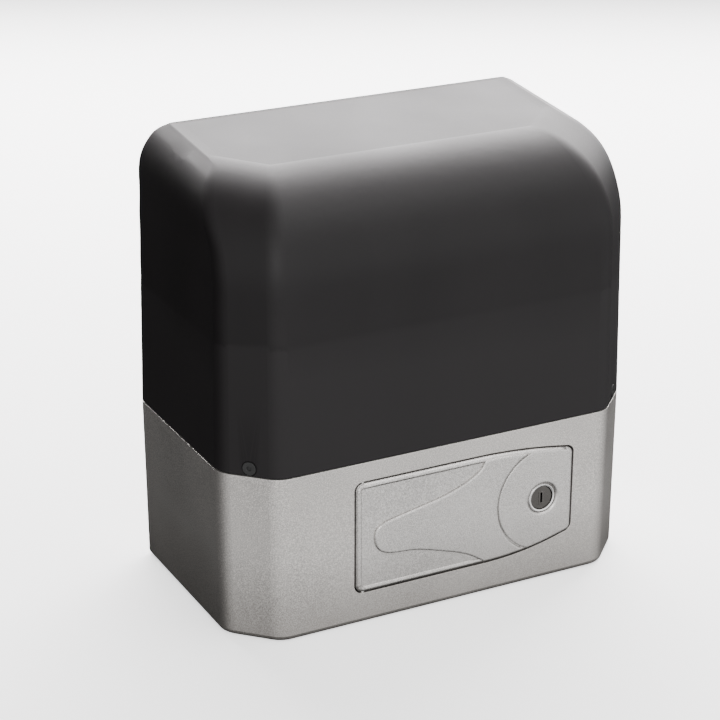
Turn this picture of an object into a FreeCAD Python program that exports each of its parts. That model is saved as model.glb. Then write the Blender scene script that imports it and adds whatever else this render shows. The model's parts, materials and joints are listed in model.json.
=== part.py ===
import FreeCAD, Part
import math
import os

V = FreeCAD.Vector

# ---- overall form (mm). X right, -Y front, +Y gate side, +Z up ----
WIDTH = 300.0            # across the body at the parting line
DEPTH = 160.0            # front to back at the parting line
RIGHT, FRONT, REAR = WIDTH / 2, -DEPTH / 2, DEPTH / 2
PARTING_Z = 116.0        # top of the die-cast base
SEAM = 1.0               # shadow gap between base and cover
CHAMFER = 29.0           # front corner facets, measured along each side
FACET_R = 18.0           # rounding of the facet edges
BACK_R = 4.0             # rounding of the back corners
BASE_DRAFT = 0.6         # base narrows this much per side towards its foot
COVER_DRAFT = 0.020      # cover narrows this much per mm of height
ROLL_Z = 240.0           # height where the front starts to roll back
ROLL_R = 62.0            # radius of that roll
TOP_MID_Z = 303.4        # height of the top at the middle of the depth
TOP_SLOPE = 0.095        # rise of the top per mm towards the back
CROWN_STEP = 13.0        # height between the upright sections under the roll
SIDE_ROLL_R = 28.0       # rounding between sides and top
BACK_ROLL_R = 7.0        # rounding between back and top
COVER_WALL = 3.0
BASE_WALL = 4.0
FLOOR = 6.0
FOOT_R = 4.0             # rounding round the foot of the base
RIM_GAP = 0.6            # between the cover's inside and the base's rim
RIM_WALL = 3.5
RIM_TOP = 127.0

# ---- fits ----
RUN = 0.05               # radial running clearance of shafts and pins
EASE = 0.4               # clearance between pieces that slide past each other

# ---- gearing ----
OUT_X, OUT_Z = 16.0, 62.0    # output axis, along Y
WHEEL_Y = REAR - 60.0        # middle plane of the worm wheel
WORM_MODULE = 2.5
WHEEL_TEETH = 32
WHEEL_WIDTH = 22.0
WHEEL_BORE_R = 29.0          # bronze rim on its iron hub
HUB_R = 17.0
WORM_PITCH_R = 12.5
WORM_LENGTH = 42.0
TOOTH_THIN = 0.55            # taken off each worm and wheel tooth for backlash
PINION_MODULE = 4.0
PINION_TEETH = 16
PINION_WIDTH = 26.0
PINION_Y = REAR + 4.0        # front face of the pinion
PRESSURE = math.radians(20)
SHAFT_R = 10.0
SPACER_R = 15.0              # spacer and end washer of the pinion
BOLT_R, BOLT_DEPTH, BOLT_ACROSS = 4.0, 17.0, 13.0
KEY_WIDE, KEY_LOW, KEY_HIGH = 6.0, 6.5, 12.5    # key, and its bottom and top above the axis
WORM_SHAFT_R = 7.0
LEAD = math.pi * WORM_MODULE
WHEEL_PITCH_R = WORM_MODULE * WHEEL_TEETH / 2
ROT_X = OUT_X - WHEEL_PITCH_R - WORM_PITCH_R
ROT_Y = WHEEL_Y

# ---- gearbox ----
BOX_FRONT, BOX_BACK = WHEEL_Y - 19.0, WHEEL_Y + 19.0    # cast case, front and back faces
BOX_WALL = 5.0
LID = 6.0
BOX_TOP = 112.0
WHEEL_ROOM_R = 45.0
BEARING_R, BEARING_W = 23.5, 14.0    # output bearings
WORM_BEARING_R, WORM_BEARING_W = 16.0, 11.0
WORM_LOW_Z, WORM_HIGH_Z = OUT_Z - 44.0, OUT_Z + 37.0    # undersides of the worm bearings
BOX_SCREW_R, BOX_LUG_R = 2.5, 6.0

# ---- motor ----
STATOR_R, STATOR_BORE, STATOR_Z0, STATOR_Z1 = 46.0, 27.5, 146.0, 206.0
ROTOR_R = STATOR_BORE - 0.5
TIE_R, TIE_CIRCLE, TIE_EAR_R = 2.5, STATOR_R + 7.5, 6.5
BELL_WALL = 5.0
SHIELD_TOP = 232.0
TOP_BEARING_R, TOP_BEARING_W = 13.0, 8.0
FAN_Z, FAN_R, FAN_HEIGHT, FAN_BLADES = 238.0, STATOR_R - 4.0, 12.0, 9
MOTOR_SHAFT_TOP = 256.0

# ---- release door in the front ----
DOOR_LEFT, DOOR_RIGHT = -67.5, 95.3
DOOR_BOTTOM, DOOR_TOP = 23.8, 101.7
DOOR_BEND_X = 26.0           # long edges run straight up to here, then bow inwards
DOOR_GAP = 1.2
DOOR_CORNER = 5.0
DOOR_FRONT = FRONT - 0.3
DOOR_THICK = 3.5
TONGUE_RAISE = 1.6
SURROUND_RAISE = 1.2
HINGE_X, HINGE_Y = -62.0, FRONT + 2.5
HINGE_PIN_R = 1.5
KNUCKLE_R, KNUCKLE_LONG = 2.9, 22.0
POCKET_BACK = FRONT + 16.0   # bottom of the pocket behind the door
PAN_WALL = 3.0               # pan that lines the pocket
PAN_BACK = POCKET_BACK + PAN_WALL
LOCK_X, LOCK_Z = 72.0, 62.0
LOCK_SEAM_R = 38.0           # seam round the lock piece
SEAM_X = 75.5                # its centre
SEAM_GAP = 0.8
LOCK_RING_R, LOCK_CORE_R = 12.0, 8.4
LOCK_BARREL_R, BARREL_BACK = 11.0, FRONT + 8.0
CORE_BACK = FRONT + 8.8
CAM_FRONT, CAM_THICK, CAM_REACH, CAM_HALF = FRONT + 9.0, 2.0, 27.0, 5.0
NUT_THICK, NUT_ACROSS = 2.6, 13.0

# ---- release plunger ----
PLUNGER_R = 4.5
PLUNGER_NOSE = FRONT + 7.4
PLUNGER_END = BOX_FRONT - 15.0
GUIDE_FRONT = BOX_FRONT - 31.0
COLLAR_Y, COLLAR_R, COLLAR_T = GUIDE_FRONT - 18.0, 8.0, 3.0
BUSH_R, BUSH_FLANGE_R = 8.0, 10.5

# ---- electrical deck ----
DECK_Z, DECK_T = 112.0, 2.0
DECK_TOP = DECK_Z + DECK_T
DECK_POSTS = [(60.0, FRONT + 30), (60.0, REAR - 18), (-18.0, FRONT + 30), (RIGHT - 20, -26.0),
              (RIGHT - 20, 26.0)]
POST_R = 5.0
BOARD_Y, BOARD_T = FRONT + 40.0, 1.6
BOARD_X0, BOARD_X1 = RIGHT - 158.0, RIGHT - 22.0
BOARD_Z0, BOARD_Z1 = DECK_TOP + 14, DECK_TOP + 118
BOARD_INSET, BOARD_SCREW_R = 5.0, 1.6
POLE = 8.0                   # one way of a terminal block
CORE_X, CORE_Y = 56.0, 26.0  # middle of the transformer
CORE_WIDE, CORE_DEEP, CORE_HIGH, CORE_LEG = 40.0, 52.0, 46.0, 12.0
CAN_X, CAN_Y, CAN_R, CAN_HIGH = RIGHT - 33.0, 0.0, 18.0, 80.0

# ---- limit lever ----
LEVER_X, LEVER_Z = 16.0, 106.0
LEVER_R = 4.0
WAND_Y = REAR + 9.0
WAND_R, WAND_FOOT, WAND_TOP = 3.2, 112.5, 182.0
SWITCH_DEEP, SWITCH_WALL = 16.0, 2.0

# ---- fixings ----
ANCHOR_X, ANCHOR_Y = RIGHT - 35.0, REAR - 32.0
ANCHOR_R, ANCHOR_SLOT = 5.5, 30.0
PAD_HALF_X, PAD_HALF_Y = 19.5, 11.0
LEVEL_X, LEVEL_Y, LEVEL_R = RIGHT - 64.0, REAR - 31.0, 4.0
LEVEL_POST_R, LEVEL_POST_TOP = 8.0, 22.0
CABLE_HOLES = [(RIGHT - 49.0, -14.0), (RIGHT - 49.0, 16.0)]
CABLE_R = 12.0
SHAFT_BOSS_R, SEAL_R, SEAL_DEEP = 22.0, 17.0, 4.0
COVER_SCREW_Z = 121.8
COVER_SCREW_HEAD_R, COVER_SCREW_SINK, COVER_SCREW_PROUD = 4.5, 0.9, 0.2

def block(x0, x1, y0, y1, z0, z1, r=0.0):
    body = Part.makeBox(x1 - x0, y1 - y0, z1 - z0, V(x0, y0, z0))
    return body.makeFillet(r, body.Edges) if r else body


def pillar(x0, x1, y0, y1, z0, z1, r):
    """A block whose upright edges are rounded."""
    body = Part.makeBox(x1 - x0, y1 - y0, z1 - z0, V(x0, y0, z0))
    upright = [e for e in body.Edges if abs(e.tangentAt(e.FirstParameter).z) > 0.9]
    return body.makeFillet(r, upright)


def rod(start, end, r):
    run = V(*end) - V(*start)
    return Part.makeCylinder(r, run.Length, V(*start), run)


def tube(start, end, r_out, r_in):
    return rod(start, end, r_out).cut(rod(start, end, r_in))


def turned_z(x, y, profile):
    """A solid of revolution about an upright axis from (radius, height) points."""
    pts = [V(x + r, y, s) for r, s in profile]
    return Part.Face(Part.makePolygon(pts + pts[:1])).revolve(V(x, y, 0), V(0, 0, 1), 360)


def turned_y(x, z, profile):
    """A solid of revolution about a front-to-back axis from (radius, depth) points."""
    pts = [V(x + r, s, z) for r, s in profile]
    return Part.Face(Part.makePolygon(pts + pts[:1])).revolve(V(x, 0, z), V(0, 1, 0), 360)


def plate_xz(points, y0, y1):
    pts = [V(x, y0, z) for x, z in points]
    return Part.Face(Part.makePolygon(pts + pts[:1])).extrude(V(0, y1 - y0, 0))


def plate_xy(points, z0, z1):
    pts = [V(x, y, z0) for x, y in points]
    return Part.Face(Part.makePolygon(pts + pts[:1])).extrude(V(0, 0, z1 - z0))


def hexagon(u, v, across):
    r = across / math.sqrt(3)
    return [(u + r * math.cos(k * math.pi / 3), v + r * math.sin(k * math.pi / 3)) for k in range(6)]


def hexagon_z(x, y, across, z0, z1):
    return plate_xy(hexagon(x, y, across), z0, z1)


def joined(shapes):
    return shapes[0].multiFuse(shapes[1:]).removeSplitter()


def bearing_z(x, y, z0, width, r_in, r_out):
    return turned_z(x, y, ring_profile(z0, width, r_in, r_out))


def bearing_y(x, z, y0, width, r_in, r_out):
    return turned_y(x, z, ring_profile(y0, width, r_in, r_out))


def ring_profile(s0, width, r_in, r_out):
    """A sealed ball bearing: inner and outer rings with the seals a little sunk."""
    land = 0.22 * (r_out - r_in)
    a, b, s1, sink = r_in + land, r_out - land, s0 + width, 0.6
    return [(r_in, s0), (a, s0), (a, s0 + sink), (b, s0 + sink), (b, s0), (r_out, s0),
            (r_out, s1), (b, s1), (b, s1 - sink), (a, s1 - sink), (a, s1), (r_in, s1)]


# ---------------------------------------------------------------- outer form

def plan_outline(front, side, back, z):
    """The plan of the body: bevelled front corners, every corner rounded. front, side
    and back are how far those edges lie inside the full width and depth."""
    c = math.sqrt(0.5)
    w, d = RIGHT, REAR
    facet = (w + d - CHAMFER) * c - front
    edges = [(0, 1, d - back), (-1, 0, w - side), (-c, -c, facet), (0, -1, d - front),
             (c, -c, facet), (1, 0, w - side)]
    radii = [BACK_R, FACET_R, FACET_R, FACET_R, FACET_R, BACK_R]
    corners = []
    for (a1, b1, d1), (a2, b2, d2) in zip(edges, edges[1:] + edges[:1]):
        det = a1 * b2 - a2 * b1
        corners.append(V((d1 * b2 - d2 * b1) / det, (a1 * d2 - a2 * d1) / det, z))
    pieces, ends = [], []
    for k, p in enumerate(corners):
        to_last = (corners[k - 1] - p).normalize()
        to_next = (corners[(k + 1) % 6] - p).normalize()
        half = to_last.getAngle(to_next) / 2
        r = max(radii[k] - 0.5 * min(front, side), 2.0)
        run = r / math.tan(half)
        middle = (to_last + to_next).normalize()
        mid = p + middle * (r / math.sin(half) - r)
        ends.append((p + to_last * run, mid, p + to_next * run))
    for k, (a, m, b) in enumerate(ends):
        pieces.append(Part.Arc(a, m, b).toShape())
        pieces.append(Part.LineSegment(b, ends[(k + 1) % 6][0]).toShape())
    return Part.Wire(pieces)


def upright_form(z0, inset0, z1, inset1):
    return Part.makeLoft([plan_outline(inset0, inset0, inset0, z0),
                          plan_outline(inset1, inset1, inset1, z1)], True, True)


def roll_end(r, top_mid, centre_y, centre_z):
    """The angle at which a roll of radius r meets the sloping top."""
    low, high = 0.6, math.pi / 2
    for _ in range(50):
        a = (low + high) / 2
        gap = top_mid + TOP_SLOPE * (centre_y - r * math.cos(a)) - centre_z - r * math.sin(a)
        low, high = (a, high) if gap > 0 else (low, a)
    return low


def corner_inset(radius, below_top):
    """How far a rounded edge has come in at this height below the top."""
    if below_top >= radius:
        return 0.0
    return radius - math.sqrt(max(radius ** 2 - (radius - below_top) ** 2, 0.0))


def wall_inset(wall, z):
    return wall + COVER_DRAFT * (z - PARTING_Z)


def rolled_crown(wall, foot):
    """The upper part of the cover: front and facets roll back to meet the sloping top."""
    sections = []
    for z in (foot, foot + CROWN_STEP, foot + 2 * CROWN_STEP):
        inset = wall_inset(wall, z)
        sections.append(plan_outline(inset, inset, inset, z))
    r, top_mid, lean = ROLL_R - wall, TOP_MID_Z - wall, math.atan(COVER_DRAFT)
    centre_z = ROLL_Z - ROLL_R * math.sin(lean)
    centre_y = FRONT + wall_inset(wall, centre_z + r * math.sin(lean)) + r * math.cos(lean)
    end = roll_end(r, top_mid, centre_y, centre_z)
    for f in (0, .15, .3, .45, .6, .75, .87, .95, 1.0):
        a = lean + f * (end - lean)
        y, z = centre_y - r * math.cos(a), centre_z + r * math.sin(a)
        tilt = math.atan(TOP_SLOPE) * (math.sin(a) - math.sin(lean)) / (math.sin(end) - math.sin(lean))
        straight = wall_inset(wall, z)
        below = [max(top_mid + TOP_SLOPE * at_y - z - math.tan(tilt) * (at_y - y), 0.0) if f < 1 else 0.0
                 for at_y in (WHEEL_Y, REAR - straight)]
        side = straight + corner_inset(SIDE_ROLL_R - wall, below[0])
        back = straight + corner_inset(BACK_ROLL_R - wall, below[1])
        wire = plan_outline(y - FRONT, side, back, 0)
        wire.rotate(V(0, y, 0), V(1, 0, 0), math.degrees(tilt))
        wire.translate(V(0, 0, z))
        sections.append(wire)
    return Part.makeLoft(sections, True, False)


def cover_form(wall, foot):
    crown_foot = ROLL_Z - 3 * CROWN_STEP
    lower = upright_form(foot, wall_inset(wall, foot), crown_foot, wall_inset(wall, crown_foot))
    return lower.fuse(rolled_crown(wall, crown_foot))


def facet_point(side, depth, z):
    """A point on the bevelled front corner (side -1 left, 1 right), depth mm inside it."""
    c = math.sqrt(0.5)
    x = RIGHT - CHAMFER / 2 - depth * c
    y = FRONT + CHAMFER / 2 + depth * c
    return (side * x, y, z)


def cover():
    body = cover_form(0.0, PARTING_Z + SEAM).cut(cover_form(COVER_WALL, PARTING_Z - 5))
    for side in (-1, 1):
        start = facet_point(side, -3, COVER_SCREW_Z)
        sunk = facet_point(side, COVER_SCREW_SINK, COVER_SCREW_Z)
        body = body.cut([rod(start, sunk, COVER_SCREW_HEAD_R + 0.5),
                         rod(start, facet_point(side, 9, COVER_SCREW_Z), 2.6)])
    return body


def cover_screws():
    screws = []
    for side in (-1, 1):
        seat = facet_point(side, COVER_SCREW_SINK, COVER_SCREW_Z)
        head = rod(seat, facet_point(side, -COVER_SCREW_PROUD, COVER_SCREW_Z), COVER_SCREW_HEAD_R)
        shank = rod(seat, facet_point(side, 13, COVER_SCREW_Z), 2.3)
        socket = rod(facet_point(side, -1, COVER_SCREW_Z), facet_point(side, 0.6, COVER_SCREW_Z), 1.6)
        washer = tube(facet_point(side, 2 + COVER_WALL + RIM_WALL, COVER_SCREW_Z),
                      facet_point(side, 11.5, COVER_SCREW_Z), 4.6, 2.0)
        screws.append(joined([head, shank, washer]).cut(socket))
    return Part.makeCompound(screws)


# ---------------------------------------------------------------- base

def rim():
    inner = COVER_WALL + RIM_GAP
    ring = upright_form(PARTING_Z - 10, inner, RIM_TOP, inner)
    ring = ring.cut(upright_form(PARTING_Z - 11, inner + RIM_WALL, RIM_TOP + 1, inner + RIM_WALL))
    for side in (-1, 1):
        x, y, _ = facet_point(side, 6, 0)
        notch = Part.makeBox(6.4, 30, 30, V(-3.2, -15, 0))
        notch.rotate(V(0, 0, 0), V(0, 0, 1), side * 45)
        notch.translate(V(x, y, COVER_SCREW_Z - 3.2))
        ring = ring.cut(notch)
    return ring


def door_outline(gap):
    """The door's outline: straight on the hinge side, bowed in towards the lock side."""
    left, right = DOOR_LEFT, DOOR_RIGHT
    low, high = DOOR_BOTTOM, DOOR_TOP
    top_end, low_end = V(right - 4.5, 0, high - 6.2), V(right - 4.7, 0, low + 9.4)
    k = DOOR_CORNER * (1 - math.sqrt(0.5))
    edges = [
        Part.LineSegment(V(left + DOOR_CORNER, 0, high), V(DOOR_BEND_X, 0, high)),
        Part.Arc(V(DOOR_BEND_X, 0, high), V(62, 0, high - 2.1), top_end),
        Part.Arc(top_end, V(right - 0.9, 0, high - 8.2), V(right, 0, high - 12)),
        Part.LineSegment(V(right, 0, high - 12), V(right, 0, low + 14.5)),
        Part.Arc(V(right, 0, low + 14.5), V(right - 1.2, 0, low + 11.2), low_end),
        Part.Arc(low_end, V(60.5, 0, low + 2.4), V(DOOR_BEND_X, 0, low)),
        Part.LineSegment(V(DOOR_BEND_X, 0, low), V(left + DOOR_CORNER, 0, low)),
        Part.Arc(V(left + DOOR_CORNER, 0, low), V(left + k, 0, low + k), V(left, 0, low + DOOR_CORNER)),
        Part.LineSegment(V(left, 0, low + DOOR_CORNER), V(left, 0, high - DOOR_CORNER)),
        Part.Arc(V(left, 0, high - DOOR_CORNER), V(left + k, 0, high - k), V(left + DOOR_CORNER, 0, high)),
    ]
    wire = Part.Wire([e.toShape() for e in edges])
    return Part.Wire(wire.makeOffset2D(gap).Edges) if gap else wire


def door_slab(gap, y0, y1):
    face = Part.Face(door_outline(gap))
    face.translate(V(0, y0, 0))
    return face.extrude(V(0, y1 - y0, 0))


def slot_hole(x, y):
    half = ANCHOR_SLOT / 2 - ANCHOR_R
    middle = Part.makeBox(2 * half, 2 * ANCHOR_R, FLOOR + 20, V(x - half, y - ANCHOR_R, -5))
    ends = [rod((x + s * half, y, -5), (x + s * half, y, FLOOR + 15), ANCHOR_R) for s in (-1, 1)]
    return middle.fuse(ends).removeSplitter()


def four_corners(x, y):
    return [(sx * x, sy * y) for sx in (-1, 1) for sy in (-1, 1)]


def base_posts():
    """Pillars, pads and ribs cast on the floor, and bosses on the rear wall."""
    posts = [rod((x, y, FLOOR - 1), (x, y, DECK_Z), POST_R) for x, y in DECK_POSTS]
    posts += [rod((x, y, FLOOR - 1), (x, y, LEVEL_POST_TOP), LEVEL_POST_R)
              for x, y in four_corners(LEVEL_X, LEVEL_Y)]
    posts += [pillar(x - PAD_HALF_X, x + PAD_HALF_X, y - PAD_HALF_Y, y + PAD_HALF_Y, FLOOR - 1, FLOOR + 2, 6)
              for x, y in four_corners(ANCHOR_X, ANCHOR_Y)]
    wall = REAR - BASE_WALL
    posts.append(rod((OUT_X, wall - 10, OUT_Z), (OUT_X, wall + 1, OUT_Z), SHAFT_BOSS_R))
    posts.append(rod((LEVER_X, wall - 4, LEVER_Z), (LEVER_X, wall + 1, LEVER_Z), 2 * LEVER_R))
    posts += [block(x, x + 3, FRONT + 1, wall + 1, FLOOR - 1, FLOOR + 8) for x in (-98, -72, 80)]
    return posts


def base_form():
    """The outside of the base, its foot rounded in four drafted bands."""
    form = upright_form(FOOT_R, BASE_DRAFT, PARTING_Z, 0.0)
    angles = [math.radians(a) for a in (0, 22.5, 45, 67.5, 90)]
    steps = [(FOOT_R * (1 - math.sin(a)), BASE_DRAFT + FOOT_R * (1 - math.cos(a))) for a in reversed(angles)]
    for (z0, inset0), (z1, inset1) in zip(steps, steps[1:]):
        form = form.fuse(upright_form(z0, inset0, z1, inset1))
    return form


def base_room(top):
    inner = BASE_WALL + BASE_DRAFT / 2
    return upright_form(FLOOR, inner, top, inner)


def base_housing():
    limit = upright_form(1.0, BASE_DRAFT + 2, RIM_TOP, BASE_DRAFT + 2)
    body = base_form().cut(base_room(PARTING_Z + 1))
    body = body.fuse([rim()] + [p.common(limit) for p in base_posts()])
    cuts = [door_slab(DOOR_GAP, FRONT - 3, FRONT + BASE_WALL + BASE_DRAFT / 2 + 0.01),
            rod((HINGE_X, HINGE_Y, DOOR_BOTTOM - 6), (HINGE_X, HINGE_Y, DOOR_TOP + 5), HINGE_PIN_R),
            rod((OUT_X, REAR - 20, OUT_Z), (OUT_X, REAR + 2, OUT_Z), SHAFT_R + 1.5),
            rod((OUT_X, REAR - 20, OUT_Z), (OUT_X, REAR - SEAL_DEEP, OUT_Z), SEAL_R),
            rod((LEVER_X, REAR - 20, LEVER_Z), (LEVER_X, REAR + 2, LEVER_Z), LEVER_R + 2 * RUN)]
    cuts += [slot_hole(x, y) for x, y in four_corners(ANCHOR_X, ANCHOR_Y)]
    cuts += [rod((x, y, -1), (x, y, LEVEL_POST_TOP + 1), LEVEL_R) for x, y in four_corners(LEVEL_X, LEVEL_Y)]
    cuts += [rod((x, y, -1), (x, y, FLOOR + 1), CABLE_R) for x, y in CABLE_HOLES]
    return body.cut(cuts)


def release_pan():
    """The pan behind the release door: it closes the pocket off from the inside."""
    spare = DOOR_GAP + PAN_WALL
    shell = block(DOOR_LEFT - spare, DOOR_RIGHT + 14, FRONT, PAN_BACK, DOOR_BOTTOM - spare, DOOR_TOP + spare)
    shell = shell.common(base_room(PARTING_Z))
    latch = block(DOOR_RIGHT - 4, DOOR_RIGHT + 9, CAM_FRONT - 1, CAM_FRONT + 5.5, LOCK_Z - 13, LOCK_Z + 25)
    hole = rod((OUT_X, POCKET_BACK - 2, OUT_Z), (OUT_X, PAN_BACK + 2, OUT_Z), BUSH_R)
    return shell.cut([door_slab(DOOR_GAP, FRONT, POCKET_BACK), latch, hole])


def cover_gasket():
    low, high = PARTING_Z, PARTING_Z + SEAM - 0.1
    inner = COVER_WALL + RIM_GAP
    return upright_form(low, 1.2, high, 1.2).cut(upright_form(low - 1, inner, high + 1, inner))


def levelling_screws():
    screws = []
    for x, y in four_corners(LEVEL_X, LEVEL_Y):
        stem = rod((x, y, 0.4), (x, y, 34), LEVEL_R)
        nut = hexagon_z(x, y, 13, LEVEL_POST_TOP, LEVEL_POST_TOP + 6.5)
        drive = block(x - 0.7, x + 0.7, y - 5, y + 5, 31.5, 35)
        screws.append(stem.fuse(nut).cut(drive))
    return Part.makeCompound(screws)


def cable_grommets():
    rings = []
    for x, y in CABLE_HOLES:
        rings.append(turned_z(x, y, [(8.5, 1.0), (CABLE_R, 1.0), (CABLE_R, FLOOR), (CABLE_R + 2.5, FLOOR),
                                     (CABLE_R + 2.5, FLOOR + 2), (CABLE_R, FLOOR + 3.2), (8.5, FLOOR + 3.2)]))
    return Part.makeCompound(rings)


# ---------------------------------------------------------------- release door

def knuckles():
    """Two hinge knuckles carried on the back of the door's left edge."""
    low, high = DOOR_BOTTOM + 3, DOOR_TOP - 3
    return [rod((HINGE_X, HINGE_Y, a), (HINGE_X, HINGE_Y, b), KNUCKLE_R)
            for a, b in [(low, low + KNUCKLE_LONG), (high - KNUCKLE_LONG, high)]]


def door_panel():
    back = DOOR_FRONT + DOOR_THICK
    slab = door_slab(0, DOOR_FRONT, back)
    slab = slab.makeFillet(1.2, [e for e in slab.Edges if abs(e.CenterOfMass.y - DOOR_FRONT) < 0.01])
    ribs = [block(DOOR_LEFT + 10, DOOR_RIGHT - 36, back - 0.5, back + 3, z, z + 2.2)
            for z in (DOOR_BOTTOM + 6, DOOR_TOP - 8.2)]
    presser = rod((OUT_X, back - 0.5, OUT_Z), (OUT_X, PLUNGER_NOSE - EASE, OUT_Z), 8.0)
    body = joined([slab, presser] + ribs + knuckles())
    bore = rod((HINGE_X, HINGE_Y, 0), (HINGE_X, HINGE_Y, 130), HINGE_PIN_R + RUN)
    barrel = rod((LOCK_X, DOOR_FRONT - 1, LOCK_Z), (LOCK_X, back + 1, LOCK_Z), LOCK_BARREL_R)
    return body.cut([bore, barrel])


def door_tongue():
    """The raised tongue: a slim rounded end that widens into the full height of the door."""
    upper = [(DOOR_BEND_X + 1, DOOR_TOP - 2.5), (24.7, 94.5), (17.5, 89.0), (0.2, 81.6), (-21.4, 76.6),
             (-42.8, 72.3), (-51.9, 68.8), (-54.6, 60.5)]
    lower = [(-54.6, 60.5), (-51.5, 52.0), (-28.3, 46.6), (-6.5, 40.9), (12.8, 34.1), (21.8, 29.0),
             (DOOR_BEND_X + 1, DOOR_BOTTOM + 1.5)]
    back = DOOR_FRONT - 0.02
    curves = []
    for pts in (upper, lower):
        curve = Part.BSplineCurve()
        curve.interpolate([V(x, back, z) for x, z in pts])
        curves.append(curve.toShape())
    tip = curves[1].Vertexes[-1].Point
    start = curves[0].Vertexes[0].Point
    r = LOCK_SEAM_R + SEAM_GAP / 2
    over, under = V(SEAM_X, back, LOCK_Z) + V(-15, 0, 0), V(SEAM_X, back, LOCK_Z) + V(-17, 0, 0)
    top = V(over.x, back, LOCK_Z + math.sqrt(r ** 2 - 15 ** 2))
    low = V(under.x, back, LOCK_Z - math.sqrt(r ** 2 - 17 ** 2))
    edges = curves + [
        Part.Arc(tip, V(44, back, DOOR_BOTTOM + 2.0), low).toShape(),
        Part.Arc(low, V(SEAM_X - r, back, LOCK_Z), top).toShape(),
        Part.Arc(top, V(44, back, DOOR_TOP - 2.4), start).toShape()]
    face = Part.Face(Part.Wire(Part.__sortEdges__(edges)))
    slab = face.extrude(V(0, -TONGUE_RAISE, 0))
    front = [e for e in slab.Edges if abs(e.BoundBox.YMax - (back - TONGUE_RAISE)) < 0.01]
    return slab.makeFillet(0.8, front)


def lock_surround():
    """The piece that carries the lock, bounded by an arc that runs round the keyhole."""
    y0, y1 = DOOR_FRONT - 0.02, DOOR_FRONT - 0.02 - SURROUND_RAISE
    disc = rod((SEAM_X, y0, LOCK_Z), (SEAM_X, y1, LOCK_Z), LOCK_SEAM_R - SEAM_GAP / 2)
    slab = door_slab(-1.4, y1, y0).common(disc)
    slab = slab.common(block(0, 200, y1 - 1, y0 + 1, 0, 200))
    cone = Part.makeCone(LOCK_RING_R, LOCK_BARREL_R - 1.0, SURROUND_RAISE + 0.04,
                         V(LOCK_X, y1 - 0.01, LOCK_Z), V(0, 1, 0))
    return slab.cut(cone)


def lock_barrel():
    front = DOOR_FRONT - 0.4
    r_in = LOCK_CORE_R + 2 * RUN
    return turned_y(LOCK_X, LOCK_Z, [
        (r_in, front), (r_in + 1.0, front - 0.2), (LOCK_BARREL_R - 1.2, front),
        (LOCK_BARREL_R - 1.2, DOOR_FRONT), (LOCK_BARREL_R, DOOR_FRONT), (LOCK_BARREL_R, BARREL_BACK),
        (r_in, BARREL_BACK)])


def lock_core():
    front = DOOR_FRONT + 0.6
    plug = rod((LOCK_X, front, LOCK_Z), (LOCK_X, CORE_BACK, LOCK_Z), LOCK_CORE_R)
    rim_edge = [e for e in plug.Edges if abs(e.CenterOfMass.y - front) < 0.01 and e.Length > 20]
    plug = plug.makeFillet(0.7, rim_edge)
    slot = block(LOCK_X - 0.7, LOCK_X + 0.7, front - 1, front + 6, LOCK_Z - 3.6, LOCK_Z + 3.6)
    shutter = block(LOCK_X - 1.9, LOCK_X + 1.9, front - 0.3, front + 0.5, LOCK_Z - 4.6, LOCK_Z + 4.6)
    boss = rod((LOCK_X, CORE_BACK, LOCK_Z), (LOCK_X, CORE_BACK + 5, LOCK_Z), BOLT_R)
    return joined([plug, shutter, boss]).cut(slot)


def lock_cam():
    y0, y1 = CAM_FRONT, CAM_FRONT + CAM_THICK
    arm = block(LOCK_X - CAM_HALF, LOCK_X + CAM_HALF, y0, y1, LOCK_Z - CAM_HALF - 1, LOCK_Z + CAM_REACH)
    arm = arm.makeFillet(CAM_HALF / 2, [e for e in arm.Edges if abs(e.tangentAt(e.FirstParameter).y) > 0.9])
    return arm.cut(rod((LOCK_X, y0 - 1, LOCK_Z), (LOCK_X, y1 + 1, LOCK_Z), BOLT_R))


def lock_nut():
    y0 = CAM_FRONT + CAM_THICK
    nut = plate_xz(hexagon(LOCK_X, LOCK_Z, NUT_ACROSS), y0, y0 + NUT_THICK)
    return nut.cut(rod((LOCK_X, y0 - 1, LOCK_Z), (LOCK_X, y0 + 10, LOCK_Z), BOLT_R))


def door_hinge_pin():
    return rod((HINGE_X, HINGE_Y, DOOR_BOTTOM - 5), (HINGE_X, HINGE_Y, DOOR_TOP + 4), HINGE_PIN_R)


# ---------------------------------------------------------------- release plunger

def release_bush():
    r_in, seat = PLUNGER_R + RUN, POCKET_BACK - 1.5
    return turned_y(OUT_X, OUT_Z, [(r_in, seat), (BUSH_FLANGE_R, seat), (BUSH_FLANGE_R, POCKET_BACK),
                                   (BUSH_R, POCKET_BACK), (BUSH_R, PAN_BACK + 5), (r_in, PAN_BACK + 5)])


def release_plunger():
    nose, end, r = PLUNGER_NOSE, PLUNGER_END, PLUNGER_R
    return turned_y(OUT_X, OUT_Z, [
        (0, nose), (r - 1.5, nose), (r, nose + 1.5), (r, COLLAR_Y), (COLLAR_R, COLLAR_Y),
        (COLLAR_R, COLLAR_Y + COLLAR_T), (r, COLLAR_Y + COLLAR_T), (r, end - 1), (r - 1, end), (0, end)])


def release_spring():
    start, end = COLLAR_Y + COLLAR_T + 0.8, GUIDE_FRONT - 0.8
    coil_r, wire_r = PLUNGER_R + 1.9, 0.75
    coil = Part.makeHelix(3.4, end - start, coil_r)
    pts = [V(coil_r + a * wire_r, 0, b * wire_r) for a, b in [(1, 0), (0, 1), (-1, 0), (0, -1)]]
    spring = coil.makePipeShell([Part.makePolygon(pts + pts[:1])], True, True)
    spring.rotate(V(0, 0, 0), V(1, 0, 0), -90)
    spring.translate(V(OUT_X, start, OUT_Z))
    return spring


# ---------------------------------------------------------------- gearbox

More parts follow.
